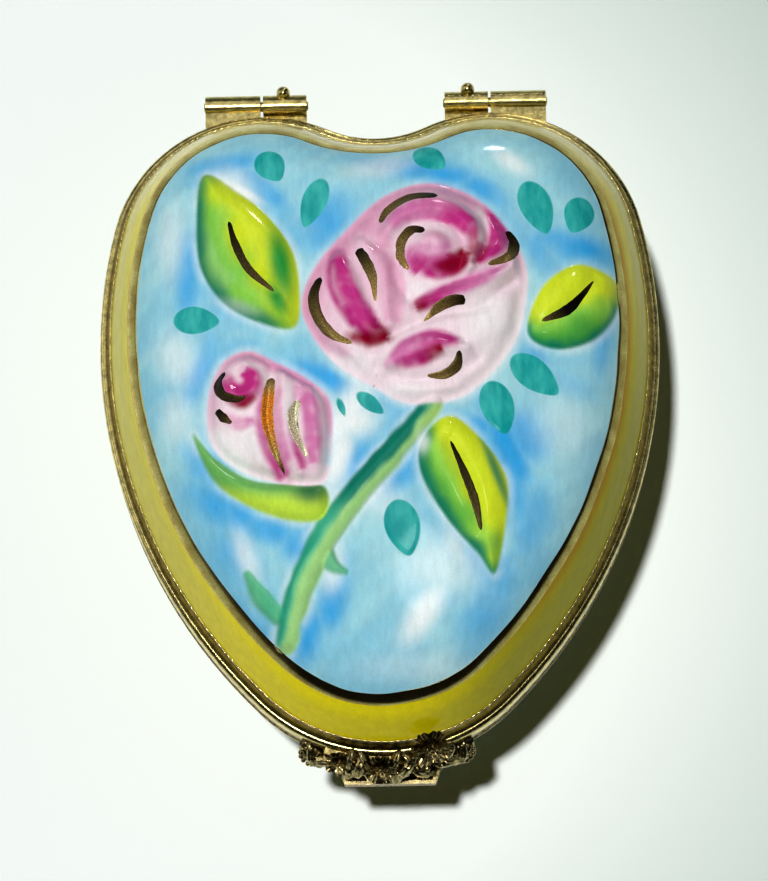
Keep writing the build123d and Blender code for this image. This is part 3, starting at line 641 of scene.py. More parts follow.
def paint_bud(x, y, colour):
    """Pale pink, rosier at its upper edge, with white blots."""
    bud = loop_gap(x, y, BUD, BESIDE)
    light = [(-11.8, -5.0, 2.2, 1.8, -30, 1.0), (-8.0, -3.0, 0.5, 2.8, 0, 0.9)]
    bloom = mix(BLUSH, PINK, 0.75 * smooth(-1.8, -0.1, bud) * smooth(-6.0, 1.0, y))
    bloom = mix(bloom, WHITE, 0.6 * blots(x, y, light))
    return mix(colour, paint_strokes(x, y, bloom, BUD_STROKES), within(bud))


def paint_rose(x, y, colour):
    """Pale pink, rosier at its upper left edge, nearly white towards the lower right."""
    rose = loop_gap(x, y, ROSE, BESIDE)
    edge = smooth(-3.4, 0.4, rose) * smooth(3.0, 13.0, y - 0.55 * (x - 4))
    patches = cloud(x, y, 2.4, 31) * smooth(1, 10, y - 0.4 * x)
    light = [(9.8, 5.8, 2.2, 2.6, -20, 1.0), (-2.6, 2.6, 2.2, 1.0, -25, 0.9), (3.4, 8.6, 1.4, 0.8, 20, 0.8),
             (2.2, -0.4, 2.4, 0.6, 0, 0.8)]
    bloom = mix(BLUSH, PINK, np.clip(0.8 * edge + 0.55 * patches, 0, 1))
    bloom = mix(bloom, WHITE, 0.6 * blots(x, y, light))
    downwards = smooth(2.0, 9.0, x * 0.8 - y * 0.6)
    bloom = mix(bloom, rgb(248, 241, 240), 0.8 * downwards * smooth(-3.0, 0.5, rose))
    return mix(colour, paint_strokes(x, y, bloom, ROSE_STROKES), within(rose))


def paint_band(x, y, inset):
    """Yellow side band with painted light and shade: paler to the back and left where it is painted lit,
    dimmer to the front right where it is painted shaded, and browner by the burnished line, most on the right
    as painted shade.
    """
    behind = smooth(-26, 14, y - 0.35 * x)
    # painted light: lighter to the back and left
    band = mix(YELLOW, LIT_YELLOW, behind)
    # painted shade: dimmer to the front right
    band = mix(band, DIM_YELLOW, smooth(1, 12, x) * smooth(16, -6, y))
    # painted light: palest along the back
    band = mix(band, rgb(250, 244, 184), 0.85 * smooth(17, 25, y))
    # painted reflection: greyer, paler yellow on the left
    band = mix(band, rgb(214, 206, 88), 0.5 * smooth(-12, -20, x) * smooth(22, 8, y))
    band = mix(band, rgb(164, 146, 52), 0.4 * smooth(2.7, 3.3, inset) * (0.3 + 0.7 * behind))
    # painted shade: browner by the line on the right
    return mix(band, rgb(176, 118, 14), 0.7 * smooth(2.3, 3.2, inset) * smooth(8, 18, x) * smooth(24, 14, y))


def paint_lid(x, y, inset):
    """Colour of the lid's outside: the spray over the wash, and the band round them."""
    colour = paint_wash(x, y, motif_gap(x, y))
    for paint in (paint_stem, paint_sepal, paint_leaves, paint_bud, paint_rose):
        colour = paint(x, y, colour)
    return mix(paint_band(x, y, inset), colour, smooth(3.55, 3.75, inset))


# ---------------------------------------------------------------- meshes
def add_piece(name, body, points, faces, material, slot, flat_angle=None):
    """Makes a mesh piece from millimetre points. Edges sharper than flat_angle degrees aren't smoothed."""
    mesh = bpy.data.meshes.new(name)
    mesh.from_pydata((np.asarray(points) * MM).tolist(), [], faces)
    mesh.validate()
    mesh.polygons.foreach_set("use_smooth", [True] * len(mesh.polygons))
    if flat_angle is not None:
        mesh.set_sharp_from_angle(angle=math.radians(flat_angle))
    piece = bpy.data.objects.new(name, mesh)
    bpy.context.scene.collection.objects.link(piece)
    mesh.materials.append(material)
    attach(piece, body)
    return piece


def add_values(piece, name, values):
    """Stores a number or an RGBA colour for each point of a piece."""
    values = np.asarray(values, np.float32)
    kind, field = ("FLOAT", "value") if values.ndim == 1 else ("FLOAT_COLOR", "color")
    layer = piece.data.attributes.new(name, kind, "POINT")
    layer.data.foreach_set(field, values.ravel())


def at_level(plan, level):
    """Plan points lifted to one level, or each to its own."""
    return np.c_[plan, np.broadcast_to(level, len(plan))]


def stitch(first, second, start_first, start_second):
    """Faces between two closed rings with equal counts, or where the second has half as many."""
    faces = []
    n = len(second)
    if len(first) == n:
        for i in range(n):
            j = (i + 1) % n
            faces.append((start_first + i, start_first + j, start_second + j, start_second + i))
        return faces
    for i in range(n):
        a, b, c = start_first + 2 * i, start_first + 2 * i + 1, start_first + (2 * i + 2) % (2 * n)
        u, v = start_second + i, start_second + (i + 1) % n
        faces += [(a, b, u), (b, v, u), (b, c, v)]
    return faces


def skin(rings, closed=False):
    """Points and faces through a list of rings, each an array of points."""
    starts = np.cumsum([0] + [len(ring) for ring in rings]).tolist()
    faces = []
    for k in range(len(rings) - 1):
        faces += stitch(rings[k], rings[k + 1], starts[k], starts[k + 1])
    if closed:
        faces += stitch(rings[-1], rings[0], starts[-2], 0)
    return np.vstack(rings), faces


def inner_rings(points, inward, start_in, spacing):
    """Plan rings from an inset to the middle, with half the points wherever they crowd."""
    fewest, crowded = 40, 0.62 * spacing
    rim = points + inward * start_in
    centre = np.array([0.0, CENTRE_Y])
    reach = np.hypot(*(rim - centre).T).mean()
    steps = int(reach / spacing)
    rings, indices = [], np.arange(len(rim))
    for k in range(1, steps):
        share = 1 - k / steps
        if len(indices) > fewest and GIRTH * share / len(indices) < crowded:
            indices = indices[::2]
        rings.append(centre + (rim[indices] - centre) * share)
    return rings


def raise_rings(plans, find_level):
    """Gives plan rings their levels."""
    xy = np.vstack(plans)
    level = find_level(xy[:, 0], xy[:, 1])
    cuts = np.cumsum([len(plan) for plan in plans])[:-1]
    return np.split(np.c_[xy, level], cuts)


def close_middle(points, faces, last, level):
    """Fills the last ring with a fan to its centre."""
    centre = len(points)
    start = centre - last
    points = np.vstack([points, [0.0, CENTRE_Y, level]])
    for i in range(last):
        faces.append((start + i, start + (i + 1) % last, centre))
    return points, faces


def lid_outer_skin(points, inward):
    """Finely moulded outside, from the foot of the wall to the crown."""
    rings = [at_level(points + inward * WALL_IN, level) for level in (LID_FOOT, 1.2, WALL_FOOT)]
    on_band, by_line = np.linspace(1.12, 3.1, 15), np.arange(3.24, 7.0, 0.17)
    insets = np.r_[on_band, by_line]
    plans = [points + inward * inset for inset in insets] + inner_rings(points, inward, insets[-1], 0.2)
    rings += raise_rings(plans, lid_level)
    crown_level = float(lid_level(np.zeros(1), np.full(1, CENTRE_Y))[0])
    return close_middle(*skin(rings), len(rings[-1]), crown_level)


def lid_inner_skin(points, inward):
    """Plain hollow under the dome."""
    thick = PORCELAIN * math.hypot(1, WALL_SLOPE) / WALL_SLOPE
    foot = WALL_FOOT + (INNER_IN - WALL_IN - thick) * WALL_SLOPE

    def hollow(x, y):
        return dome(x, y, inset_of(x, y), INNER_IN, foot, SHOULDER_R - PORCELAIN, PORCELAIN)

    rings = [at_level(points + inward * INNER_IN, level) for level in (LID_FOOT, foot)]
    plans = [points + inward * inset for inset in np.arange(INNER_IN + 0.3, 8.2, 0.5)]
    rings += raise_rings(plans + inner_rings(points, inward, 8.0, 0.9), hollow)
    return close_middle(*skin(rings), len(rings[-1]), CROWN_Z - PORCELAIN)


def lid_shell():
    """Points, faces and an outside mark of the lid, as one closed mesh."""
    inner_count = 210
    count = 4 * inner_count
    points, inward = outline(count)
    outer_points, faces = lid_outer_skin(points, inward)
    inner_points, inner_faces = lid_inner_skin(points[::4], inward[::4])
    shift = len(outer_points)
    faces += [tuple(reversed([shift + i for i in face])) for face in inner_faces]
    # flat foot between the two skins, with four points outside for each one inside
    for i in range(inner_count):
        u, v = shift + i, shift + (i + 1) % inner_count
        a, b, c, d, e = [(4 * i + k) % count for k in range(5)]
        faces += [(b, a, u), (c, b, u), (c, u, v), (d, c, v), (e, d, v)]
    outside = np.r_[np.ones(shift), np.zeros(len(inner_points))]
    return np.vstack([outer_points, inner_points]), faces, outside


def build_lid():
    """Painted lid: its colours and the distance to its enamel drops go with its points."""
    points, faces, outside = lid_shell()
    raised = points + [0, 0, SEAM_Z]
    piece = add_piece("painted_lid", "lid", raised, faces, lid_porcelain_material(), "painted_lid")
    x, y = points[:, 0], points[:, 1]
    colour = mix(WHITE, paint_lid(x, y, inset_of(x, y)), outside)
    add_values(piece, "paint", np.c_[colour, np.ones(len(colour))])
    add_values(piece, "drops", np.where(outside > 0.5, all_drops(x, y), FAR))
    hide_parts("lid_porcelain")


def bow(start, through, end, count=9):
    """Points after start on the circle through three points."""
    a, b, c = (complex(*p) for p in (start, through, end))
    w = (c - a) / (b - a)
    centre = a + (b - a) * (w - abs(w) ** 2) / (2j * w.imag)
    turn = np.angle((c - centre) / (a - centre))
    z = centre + (a - centre) * np.exp(1j * turn * np.arange(1, count + 1) / count)
    return list(zip(z.real, z.imag))


def base_shell():
    """Points, faces and an inside mark of the lower shell: wall, foot ring, underside and hollow.

    Each profile is a run of insets and levels from the rim downwards.
    """
    count = 480
    points, inward = outline(count)
    outer = [(0.6, -SHELL_FOOT), (0.6, -1.6), (0.6, -2.6)]
    outer += bow(outer[-1], (1.9, -8.0), (4.6, -13.2), 14)
    outer += bow(outer[-1], (5.5, -14.3), (6.2, -15.4), 4)
    outer += [(6.2, -16.42), (6.28, -16.5), (7.42, -16.5), (7.5, -16.42), (7.7, -15.7), (8.2, -15.7)]
    inner = [(INNER_IN, -SHELL_FOOT), (INNER_IN, -3.0)]
    inner += bow(inner[-1], (3.0, -5.5), (3.4, -8.4), 6)
    inner += bow(inner[-1], (4.9, -11.9), (8.2, -13.7), 12)
    every, faces, marks = [], [], []
    start = 0
    for profile, inside in ((outer, 0.0), (inner, 1.0)):
        last_inset, floor_level = profile[-1]
        rings = [at_level(points + inward * inset, level) for inset, level in profile]
        rings += [at_level(plan, floor_level) for plan in inner_rings(points, inward, last_inset, 0.8)]
        half_points, half_faces = close_middle(*skin(rings), len(rings[-1]), floor_level)
        for face in half_faces:
            face = tuple(start + i for i in face)
            faces.append(face if inside else tuple(reversed(face)))
        every.append(half_points)
        marks.append(np.full(len(half_points), inside))
        start += len(half_points)
    faces += stitch(range(count), range(count), 0, len(every[0]))
    return np.vstack(every), faces, np.concatenate(marks)


def build_base():
    """Painted base, with a mark on the points of its white inside."""
    points, faces, inside = base_shell()
    points[:, 2] += SEAM_Z
    piece = add_piece("painted_base", "base", points, faces, base_porcelain_material(), "painted_base", 50)
    add_values(piece, "inside", inside)
    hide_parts("base_porcelain")


def build_lip_wire():
    """Fine beaded wire where the lid mount meets the porcelain."""
    bead_long, around, wire_level = 0.62, 8, 1.97
    points, inward = outline(round(GIRTH / bead_long) * around)
    swell = 0.09 + 0.03 * np.sqrt(np.abs(np.sin(np.pi * np.arange(len(points)) / around)))
    rings = []
    for k in range(around):
        a = 2 * math.pi * k / around
        plan = points + inward * (WALL_IN - swell * math.cos(a))[:, None]
        rings.append(at_level(plan, SEAM_Z + wire_level + swell * math.sin(a)))
    every, faces = skin(rings, closed=True)
    material = gilt("gilt_wire", (0.93, 0.80, 0.38), 0.16, 0.25)
    piece = add_piece("beaded_lip_wire", "lid", every, faces, material, "gilt_mounts")
    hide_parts("lid_lip_wire")


def build_decor_band():
    """Struck band: slanting lozenges between two fine beaded edges."""
    repeat_long, steps, deep = 1.25, 14, 0.25
    low, high = node_box("base_decor_band")
    bottom, top = low[2], high[2]
    count = round(GIRTH / repeat_long) * steps
    points, inward = outline(count)
    phase = np.arange(count) / steps
    beads = 0.7 + 0.3 * np.cos(4 * np.pi * phase)
    rings = []
    for v in np.linspace(0, 1, 13):
        edge = smooth(0.16, 0.06, np.minimum(v, 1 - v))
        lozenge = np.abs(np.sin(np.pi * (phase + 0.55 * v))) * np.abs(np.sin(np.pi * (phase - 0.55 * v)))
        leaf = smooth(0.12, 0.5, lozenge) * math.sin(math.pi * v) ** 0.7
        depth = 0.19 - 0.17 * np.maximum(leaf, edge * beads)
        if v in (0.0, 1.0):
            depth = np.full(count, 0.02)
        rings.append(at_level(points + inward * depth[:, None], bottom + (top - bottom) * v))
    rings += [at_level(points + inward * deep, level) for level in (top, bottom)]
    every, faces = skin(rings, closed=True)
    material = gilt("struck_band", (0.42, 0.33, 0.14), 0.22, 0.75)
    piece = add_piece("struck_band", "base", every, faces, material, "milled_band", 60)
    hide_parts("base_decor_band")


def build_dome_line():
    """Burnished gold line round the dome, laid on the glaze with a hand-drawn edge."""
    count, rows, sunk_by = 900, 9, 0.14
    points, inward = outline(count)
    x, y = points.T
    leaning = np.interp(x, [-25, -8, 8, 25], [-0.45, 0.0, 0.0, -0.15]) + 0.2 * smooth(10, 25, y)
    start_in = LINE_OUT + leaning + 0.10 * (cloud(x, y, 5.0, 41) - 0.5)
    wide = LINE_IN - LINE_OUT + 0.12 * (cloud(x, y, 3.0, 42) - 0.5)
    rings = []
    for share in np.linspace(0, 1, rows):
        plan = points + inward * (start_in + wide * share)[:, None]
        lift = -0.02 + 0.06 * math.sin(math.pi * share) ** 0.5
        rings.append(at_level(plan, SEAM_Z + lid_level(plan[:, 0], plan[:, 1]) + lift))
    rings.append(rings[rows // 2] - [0, 0, sunk_by])
    every, faces = skin(rings, closed=True)
    add_piece("burnished_line", "lid", every, faces, gilding("burnished_gold", 0.09), "gilt_mounts")


# gilt strokes on the spray: points, half widths and shades along the stroke
# shades: 0 burnt, 1 gold, 2 copper, 3 pale
FADING, BURNT, GLOWING = [0.0, 0.25, 0.6, 0.9], [0.0, 0.08, 0.2, 0.3], [3.0, 3.0, 3.0, 3.0]
GILT_STROKES = [
    ([(0.3, 15.0), (1.0, 16.2), (2.9, 17.4), (5.4, 17.5)], [0.2, 0.44, 0.48, 0.34], [0.4, 0.6, 0.3, 0.0]),
    ([(4.2, 14.0), (3.1, 14.2), (2.2, 13.2), (2.0, 11.8), (2.7, 10.4)],
     [0.36, 0.46, 0.46, 0.42, 0.18], FADING),
    ([(11.4, 14.6), (12.0, 13.3), (11.5, 11.9), (9.6, 10.9)], [0.26, 0.5, 0.48, 0.14], [0.0, 0.1, 0.5, 1.0]),
    ([(-1.7, 12.5), (-1.0, 11.2), (-0.4, 9.6), (-0.2, 7.4)], [0.36, 0.5, 0.4, 0.1], [0.0, 0.2, 0.6, 1.0]),
    ([(-5.0, 10.2), (-5.6, 8.4), (-5.2, 6.4), (-4.0, 4.7), (-2.3, 3.8)], [0.32, 0.5, 0.5, 0.46, 0.2], FADING),
    ([(7.6, 7.6), (6.5, 7.5), (5.2, 6.9), (3.9, 5.7)], [0.36, 0.46, 0.4, 0.1], [0.0, 0.3, 0.8, 1.0]),
    ([(7.0, 2.9), (6.7, 1.7), (5.6, 0.9), (4.1, 0.8)], [0.18, 0.46, 0.42, 0.1], [0.1, 0.4, 0.7, 0.9]),
    ([(-13.4, 1.9), (-14.0, 0.8), (-13.5, -0.4), (-12.3, -0.9), (-11.5, -0.7)],
     [0.2, 0.4, 0.4, 0.32, 0.1], BURNT),
    ([(-14.1, -1.6), (-13.5, -2.4), (-12.8, -3.0)], [0.26, 0.42, 0.16], BURNT),
    ([(-9.3, 1.1), (-9.6, -0.8), (-9.7, -2.8), (-9.1, -5.4), (-8.2, -7.7)], [0.36, 0.58, 0.54, 0.36, 0.08],
     [0.3, 1.9, 2.0, 1.2, 0.0]),
    ([(-7.0, -1.1), (-7.5, -2.6), (-7.2, -4.4), (-6.2, -6.3)], [0.3, 0.5, 0.4, 0.14], GLOWING),
    (VEIN_BACK, [0.16, 0.36, 0.38, 0.16], BURNT),
    (VEIN_SIDE, [0.06, 0.3, 0.5, 0.2], [0.2, 0.0, 0.0, 0.3]),
    (VEIN_FRONT, [0.12, 0.36, 0.4, 0.16], BURNT),
]


def stroke_rows(points, halves, shade, seed):
    """Plan rows, lifts and shades of one stroke: nine rows over its top, and one sunk under its middle."""
    tapered = 0.05  # share of the length at either end
    tall, sunk, sunk_middle = 0.1, 0.02, 0.27
    path = spline(points, steps=16)
    along = np.linspace(0, 1, len(path))
    tangent = np.gradient(path, axis=0)
    tangent /= np.hypot(*tangent.T)[:, None]
    side = np.c_[-tangent[:, 1], tangent[:, 0]]
    half = np.interp(along, np.linspace(0, 1, len(halves)), halves)
    half = half * np.sqrt(np.clip(np.minimum(along, 1 - along) / tapered, 0.02, 1))
    half = half * (0.94 + 0.16 * cloud(path[:, 0], path[:, 1], 0.5, seed))
    rise = tall * np.minimum(1, half / 0.25)
    shares, sinks = np.r_[np.linspace(-1, 1, 9), 0], [sunk] * 9 + [sunk_middle]
    plans = [path + side * (half * share)[:, None] for share in shares]
    lifts = [math.sqrt(1 - share**2) * rise - sink for share, sink in zip(shares, sinks)]
    tone = np.interp(along, np.linspace(0, 1, len(shade)), shade)
    return plans, lifts, [tone] * len(plans)


def stroke_faces(start, rows, long):
    """Faces of a closed stroke: its rows in a ring, and a cap at either end."""
    faces = []
    for r in range(rows):
        here, there = start + r * long, start + (r + 1) % rows * long
        faces += [(here + i, here + i + 1, there + i + 1, there + i) for i in range(long - 1)]
    firsts = [start + r * long for r in range(rows)]
    return faces + [firsts, [first + long - 1 for first in reversed(firsts)]]


def build_gilt_strokes():
    """Raised brush strokes of gold on the rose, the bud and the leaves' veins."""
    plans, lifts, shades, faces = [], [], [], []
    start = 0
    for number, (points, halves, shade) in enumerate(GILT_STROKES):
        rows, rises, tones = stroke_rows(points, halves, shade, 60 + number)
        faces += stroke_faces(start, len(rows), len(rows[0]))
        start += len(rows) * len(rows[0])
        plans += rows
        lifts += rises
        shades += tones
    xy = np.vstack(plans)
    level = SEAM_Z + lid_level(xy[:, 0], xy[:, 1]) + np.concatenate(lifts)
    piece = add_piece("gilt_strokes", "lid", np.c_[xy, level], faces, brushed_gold(), "gilt_mounts")
    add_values(piece, "shade", np.concatenate(shades))


# ---------------------------------------------------------------- castings at the clasp
def frame_at(x, out, level, pitch, yaw=0.0):
    """Origin and axes of a casting at the tip, out from the outline. Its own Z looks forwards.

    Pitch turns that Z up, and yaw turns it to the right, in degrees.
    """
    _, cy, r = ARCS[0][:3]
    y = cy - math.sqrt((r + out) ** 2 - x**2)
    p, w = math.radians(pitch), math.radians(yaw)
    look = np.array([math.sin(w) * math.cos(p), -math.cos(w) * math.cos(p), math.sin(p)])
    across = np.array([math.cos(w), math.sin(w), 0.0])
    return np.array([x, y, SEAM_Z + level]), across, np.cross(look, across), look


def disc(place, edge, height, thick, around, rows=10, turn=0.0, lift=0.0):
    """Closed, thin, shaped disc: edge(angle) is its rim's radius and height(share, angle) its relief."""
    origin, across, up, look = place
    a = np.arange(around) * 2 * math.pi / around
    radius = edge(a)
    rings = [(radius * k / rows, height(k / rows, a) + lift) for k in range(1, rows + 1)]
    for shrunk, share in ((0.94, 1.0), (0.3, 0.3)):
        rings.append((radius * shrunk, height(share, a) + lift - thick))
    plates = []
    for r, z in rings:
        flat = np.outer(r * np.cos(a + turn), across) + np.outer(r * np.sin(a + turn), up)
        plates.append(origin + flat + np.outer(np.broadcast_to(z, around), look))
    points, sides = skin(plates)
    faces = [tuple(reversed(face)) for face in sides]
    top, bottom = len(points), len(points) + 1
    middle = float(np.mean(height(0.0, a))) + lift
    points = np.vstack([points, origin + middle * look, origin + (middle - thick) * look])
    last = (len(rings) - 1) * around
    for i in range(around):
        j = (i + 1) % around
        faces += [(top, i, j), (bottom, last + j, last + i)]
    return points, faces


def bead(place, u, v, w, radius, stretch=1.0):
    """Small ball at (u, v, w) of a casting's frame, drawn out along its second axis by stretch."""
    origin, across, up, look = place
    centre = origin + u * across + v * up + w * look
    rows, around = 8, 12
    points = [centre + radius * look]
    for k in range(1, rows):
        t = math.pi * k / rows
        flat, rise = radius * math.sin(t), radius * math.cos(t) * look
        for i in range(around):
            a = 2 * math.pi * i / around
            points.append(centre + flat * math.cos(a) * across + flat * math.sin(a) * stretch * up + rise)
    points.append(centre - radius * look)
    faces = []
    for i in range(around):
        j = (i + 1) % around
        faces.append((0, 1 + i, 1 + j))
        for k in range(rows - 2):
            base = 1 + k * around
            faces.append((base + i, base + around + i, base + around + j, base + j))
        base = 1 + (rows - 2) * around
        faces.append((len(points) - 1, base + j, base + i))
    return np.array(points), faces


def ruffled(place, radius, petals, cup, turn=0.0, lift=0.0, teeth=0.03):
    """One tier of a flower: serrated, wavy petals that rise towards their rim."""
    thick = 0.16

    def edge(a):
        lobes = np.abs(np.cos(petals * a / 2)) ** 0.6
        return radius * (0.70 + 0.30 * lobes + teeth * np.cos(petals * 4 * a))

    def height(share, a):
        wave = np.cos(petals * a) * 0.15
        fold = -0.12 * np.exp(-((np.sin(petals * a / 2) / 0.3) ** 2))
        return radius * (cup * share**2 + (wave + fold) * share)

    return disc(place, edge, height, thick, around=petals * 20, turn=turn, lift=lift)


def cast_leaf(place, long, wide, turn, lift=0.0, arch=0.3, teeth=0.03, veins=2, thick=0.25):
    """Serrated leaf with a midrib and side veins."""
    a_half, b_half = long / 2, wide / 2

    def edge(a):
        oval = a_half * b_half / np.sqrt((b_half * np.cos(a)) ** 2 + (a_half * np.sin(a)) ** 2)
        point = 1 + 0.22 * np.maximum(np.cos(a), 0) ** 8
        return oval * point * (1 + teeth * np.cos(11 * a))

    def height(share, a):
        r = edge(a) * share
        u, v = r * np.cos(a), r * np.sin(a)
        rib = -0.12 * np.exp(-((v / (0.10 * wide)) ** 2))
        side = 0.04 * np.cos(veins * 2 * math.pi * (u / long - 0.35 * np.abs(v) / wide))
        return arch * wide * (1 - share**2) + (rib + side) * (1 - 0.4 * share) - 0.06 * share

    return disc(place, edge, height, thick, around=102, rows=9, turn=math.radians(turn), lift=lift)


def gather(parts):
    """One list of points and faces from several."""
    points, faces, start = [], [], 0
    for more, their in parts:
        points.append(more)
        faces += [tuple(start + i for i in face) for face in their]
        start += len(more)
    return np.vstack(points), faces


def blossom(place, radius, petals, heart):
    """Flower of three tiers round a cluster of beads. heart is the middle bead's radius."""
    parts = [
        ruffled(place, radius, petals, 0.20),
        ruffled(place, radius * 0.72, petals - 1, 0.34, turn=0.35, lift=0.16 * radius),
        ruffled(place, radius * 0.44, 5, 0.42, turn=0.1, lift=0.3 * radius, teeth=0.02),
        bead(place, 0, 0, 0.42 * radius, heart),
    ]
    for a in np.arange(5) * 2 * math.pi / 5:
        out = 0.24 * radius
        parts.append(bead(place, out * math.cos(a), out * math.sin(a), 0.4 * radius, heart * 0.6))
    return parts


def add_casting(name, body, parts, material):
    """Makes one piece of several castings."""
    return add_piece(name, body, *gather(parts), material, "cast_gilt", 50)


def arc_strip(half, front, back, low, high, wavy=0.0):
    """Strip that follows the tip between two insets, with a wavy lower edge."""
    cx, cy, r = ARCS[0][:3]
    count, waves = 121, 11
    spread = np.linspace(-1, 1, count) * math.asin(half / r)
    bottoms = low + wavy * np.cos(np.linspace(0, waves * 2 * math.pi, count))
    rows = []
    for inset, level in ((front, bottoms), (front, high), (back, high), (back, bottoms)):
        reach = r - inset
        rows.append(at_level(np.c_[cx + reach * np.sin(spread), cy - reach * np.cos(spread)], SEAM_Z + level))
    faces = []
    for k in range(4):
        here, there = k * count, (k + 1) % 4 * count
        faces += [(here + i, there + i, there + i + 1, here + i + 1) for i in range(count - 1)]
    starts = [k * count for k in range(4)]
    return np.vstack(rows), faces + [tuple(reversed(starts)), tuple(i + count - 1 for i in starts)]


def build_clasp_flower(material):
    """Large ruffled flower on a short stalk."""
    stalk = bead(frame_at(4.2, 0.3, 0.9, 50, 14), 0, 0, 0.3, 0.5, 1.4)
    parts = blossom(frame_at(3.85, 0.15, 1.95, 56, 10), 1.85, 6, 0.24) + [stalk]
    piece = add_casting("cast_flower", "lid", parts, material)
    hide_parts("clasp_flower")


# leaves of the lid's casting: x, distance out, level, pitch, length, width, turn, arch
SPRAY_LEAVES = [
    (-5.0, 0.9, -0.1, 50, 2.2, 1.3, 200, 0.42), (-3.1, 1.2, -0.35, 42, 2.2, 1.4, 250, 0.4),
    (-2.4, 1.0, 0.4, 62, 2.2, 1.4, 75, 0.45), (-1.6, 1.35, -0.4, 42, 2.0, 1.2, 300, 0.45),
    (1.0, 1.3, -0.35, 45, 2.1, 1.3, 250, 0.42), (1.7, 1.05, 0.4, 60, 2.2, 1.4, 50, 0.45),
    (2.7, 1.3, -0.3, 45, 2.2, 1.3, -40, 0.42), (4.6, 1.0, -0.2, 48, 2.3, 1.4, -15, 0.45),
    (5.2, 0.7, 0.4, 55, 1.7, 1.1, 40, 0.45),
]

# the row above it, against the mount's roll
CROWN_LEAVES = [
    (-3.2, 0.6, 0.75, 66, 1.7, 1.1, 80, 0.45), (-1.9, 0.55, 0.8, 66, 1.6, 1.0, 120, 0.45),
    (0.8, 0.5, 0.85, 66, 1.7, 1.1, 70, 0.45), (2.0, 0.6, 0.7, 62, 1.6, 1.0, 130, 0.45),
]


def build_clasp_spray(material):
    """Two rosettes and beads among leaves, on a strip that hides the tongue's root."""
    parts = [arc_strip(4.7, -0.95, -0.55, -0.8, 0.35, 0.08)]
    for x, out, level, pitch, long, wide, turn, arch in SPRAY_LEAVES + CROWN_LEAVES:
        parts.append(cast_leaf(frame_at(x, out, level, pitch, 2.2 * x), long, wide, turn, arch=arch))
    parts += blossom(frame_at(-0.55, 1.05, 0.4, 60, 0), 1.35, 6, 0.2)
    parts += blossom(frame_at(-4.2, 0.95, 0.3, 54, -10), 1.2, 5, 0.18)
    for x in (-2.9, -2.0, 0.9, 3.5):
        place = frame_at(x, 1.35, -0.05, 50, 2.2 * x)
        parts += [bead(place, 0.0, 0.0, 0.1, 0.26), bead(place, 0.35, -0.4, 0.05, 0.2)]
    piece = add_casting("cast_spray", "lid", parts, material)
    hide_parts("clasp_spray")


# sprig in the tray: x, out, length, width, turn, lift of its leaves
SPRIG_LEAVES = [
    (-2.7, 0.95, 1.6, 0.9, 160, 0.0), (-1.9, 1.3, 1.9, 1.0, 30, 0.12), (-0.3, 1.1, 1.7, 0.9, -25, 0.05),
    (1.6, 1.25, 2.2, 1.1, 12, 0.14), (3.0, 1.1, 1.5, 0.9, 200, 0.05),
]
SPRIG_LEVEL = -1.82


def build_catch_spray(material):
    """Sprig of leaves and berries that lies in the catch's tray."""
    parts = []
    for x, out, long, wide, turn, lift in SPRIG_LEAVES:
        parts.append(cast_leaf(frame_at(x, out, SPRIG_LEVEL, 82), long, wide, turn, lift=lift))
    parts += [bead(frame_at(x, 1.5, SPRIG_LEVEL, 85), 0, 0, 0.12, 0.2) for x in (-2.9, 0.4, 3.1)]
    piece = add_casting("cast_sprig", "base", parts, material)
    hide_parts("catch_spray")


def build_catch_wings(material):
    """Rounded leaf at either end of the tray, with two small leaves on it and berries round it."""
    for name, side in (("left", -1), ("right", 1)):
        place = frame_at(side * 6.45, 0.75, -1.2, 42, side * 25)
        turn = 90 - side * 60
        parts = [
            cast_leaf(place, 2.7, 1.9, turn, arch=0.32, veins=4, thick=0.5),
            cast_leaf(place, 1.7, 1.0, turn + side * 35, lift=0.5, arch=0.35, thick=0.3),
            cast_leaf(place, 1.5, 0.8, turn - side * 50, lift=0.42, arch=0.35, thick=0.3),
        ]
        for k in range(7):
            a = math.radians(turn - side * 10 + side * (k * 26 - 100))
            parts.append(bead(place, 1.12 * math.cos(a), 0.86 * math.sin(a), 0.22, 0.22))
        piece = add_casting("cast_wing_" + name, "base", parts, material)
        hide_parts("catch_wing_" + name)


def build_castings():
    """Flower and spray of the clasp, sprig and wings of the catch."""
    aged = gilt("aged_casting", (0.80, 0.66, 0.32), 0.14, 0.97, grit=0.04)
    build_clasp_flower(aged)
    build_clasp_spray(aged)
    build_catch_spray(aged)
    build_catch_wings(aged)


# ---------------------------------------------------------------- materials
def new_material(name):
    """Material, its tree, its shader and its object coordinates."""
    material = bpy.data.materials.new(name)
    material.use_nodes = True
    tree = material.node_tree
    place = tree.nodes.new("ShaderNodeTexCoord").outputs["Object"]
    return material, tree, tree.nodes["Principled BSDF"], place


def set_up(node, **values):
    """Sets a node's properties and inputs. An underscore in an input's name is a space."""
    for key, value in values.items():
        if hasattr(node, key):
            setattr(node, key, value)
        else:
            node.inputs[key.replace("_", " ")].default_value = value
    return node


def add_node(tree, kind, **values):
    """New node with the given properties and inputs."""
    return set_up(tree.nodes.new(kind), **values)


def noise(tree, place, scale, detail=4.0, rough=0.55, stretch=None):
    """Noise in object space, scale in features per millimetre."""
    if stretch:
        mapping = add_node(tree, "ShaderNodeMapping", Scale=stretch)
        tree.links.new(place, mapping.inputs["Vector"])
        place = mapping.outputs["Vector"]
    node = add_node(tree, "ShaderNodeTexNoise", Scale=scale / MM, Detail=detail, Roughness=rough)
    tree.links.new(place, node.inputs["Vector"])
    return node.outputs["Fac"]


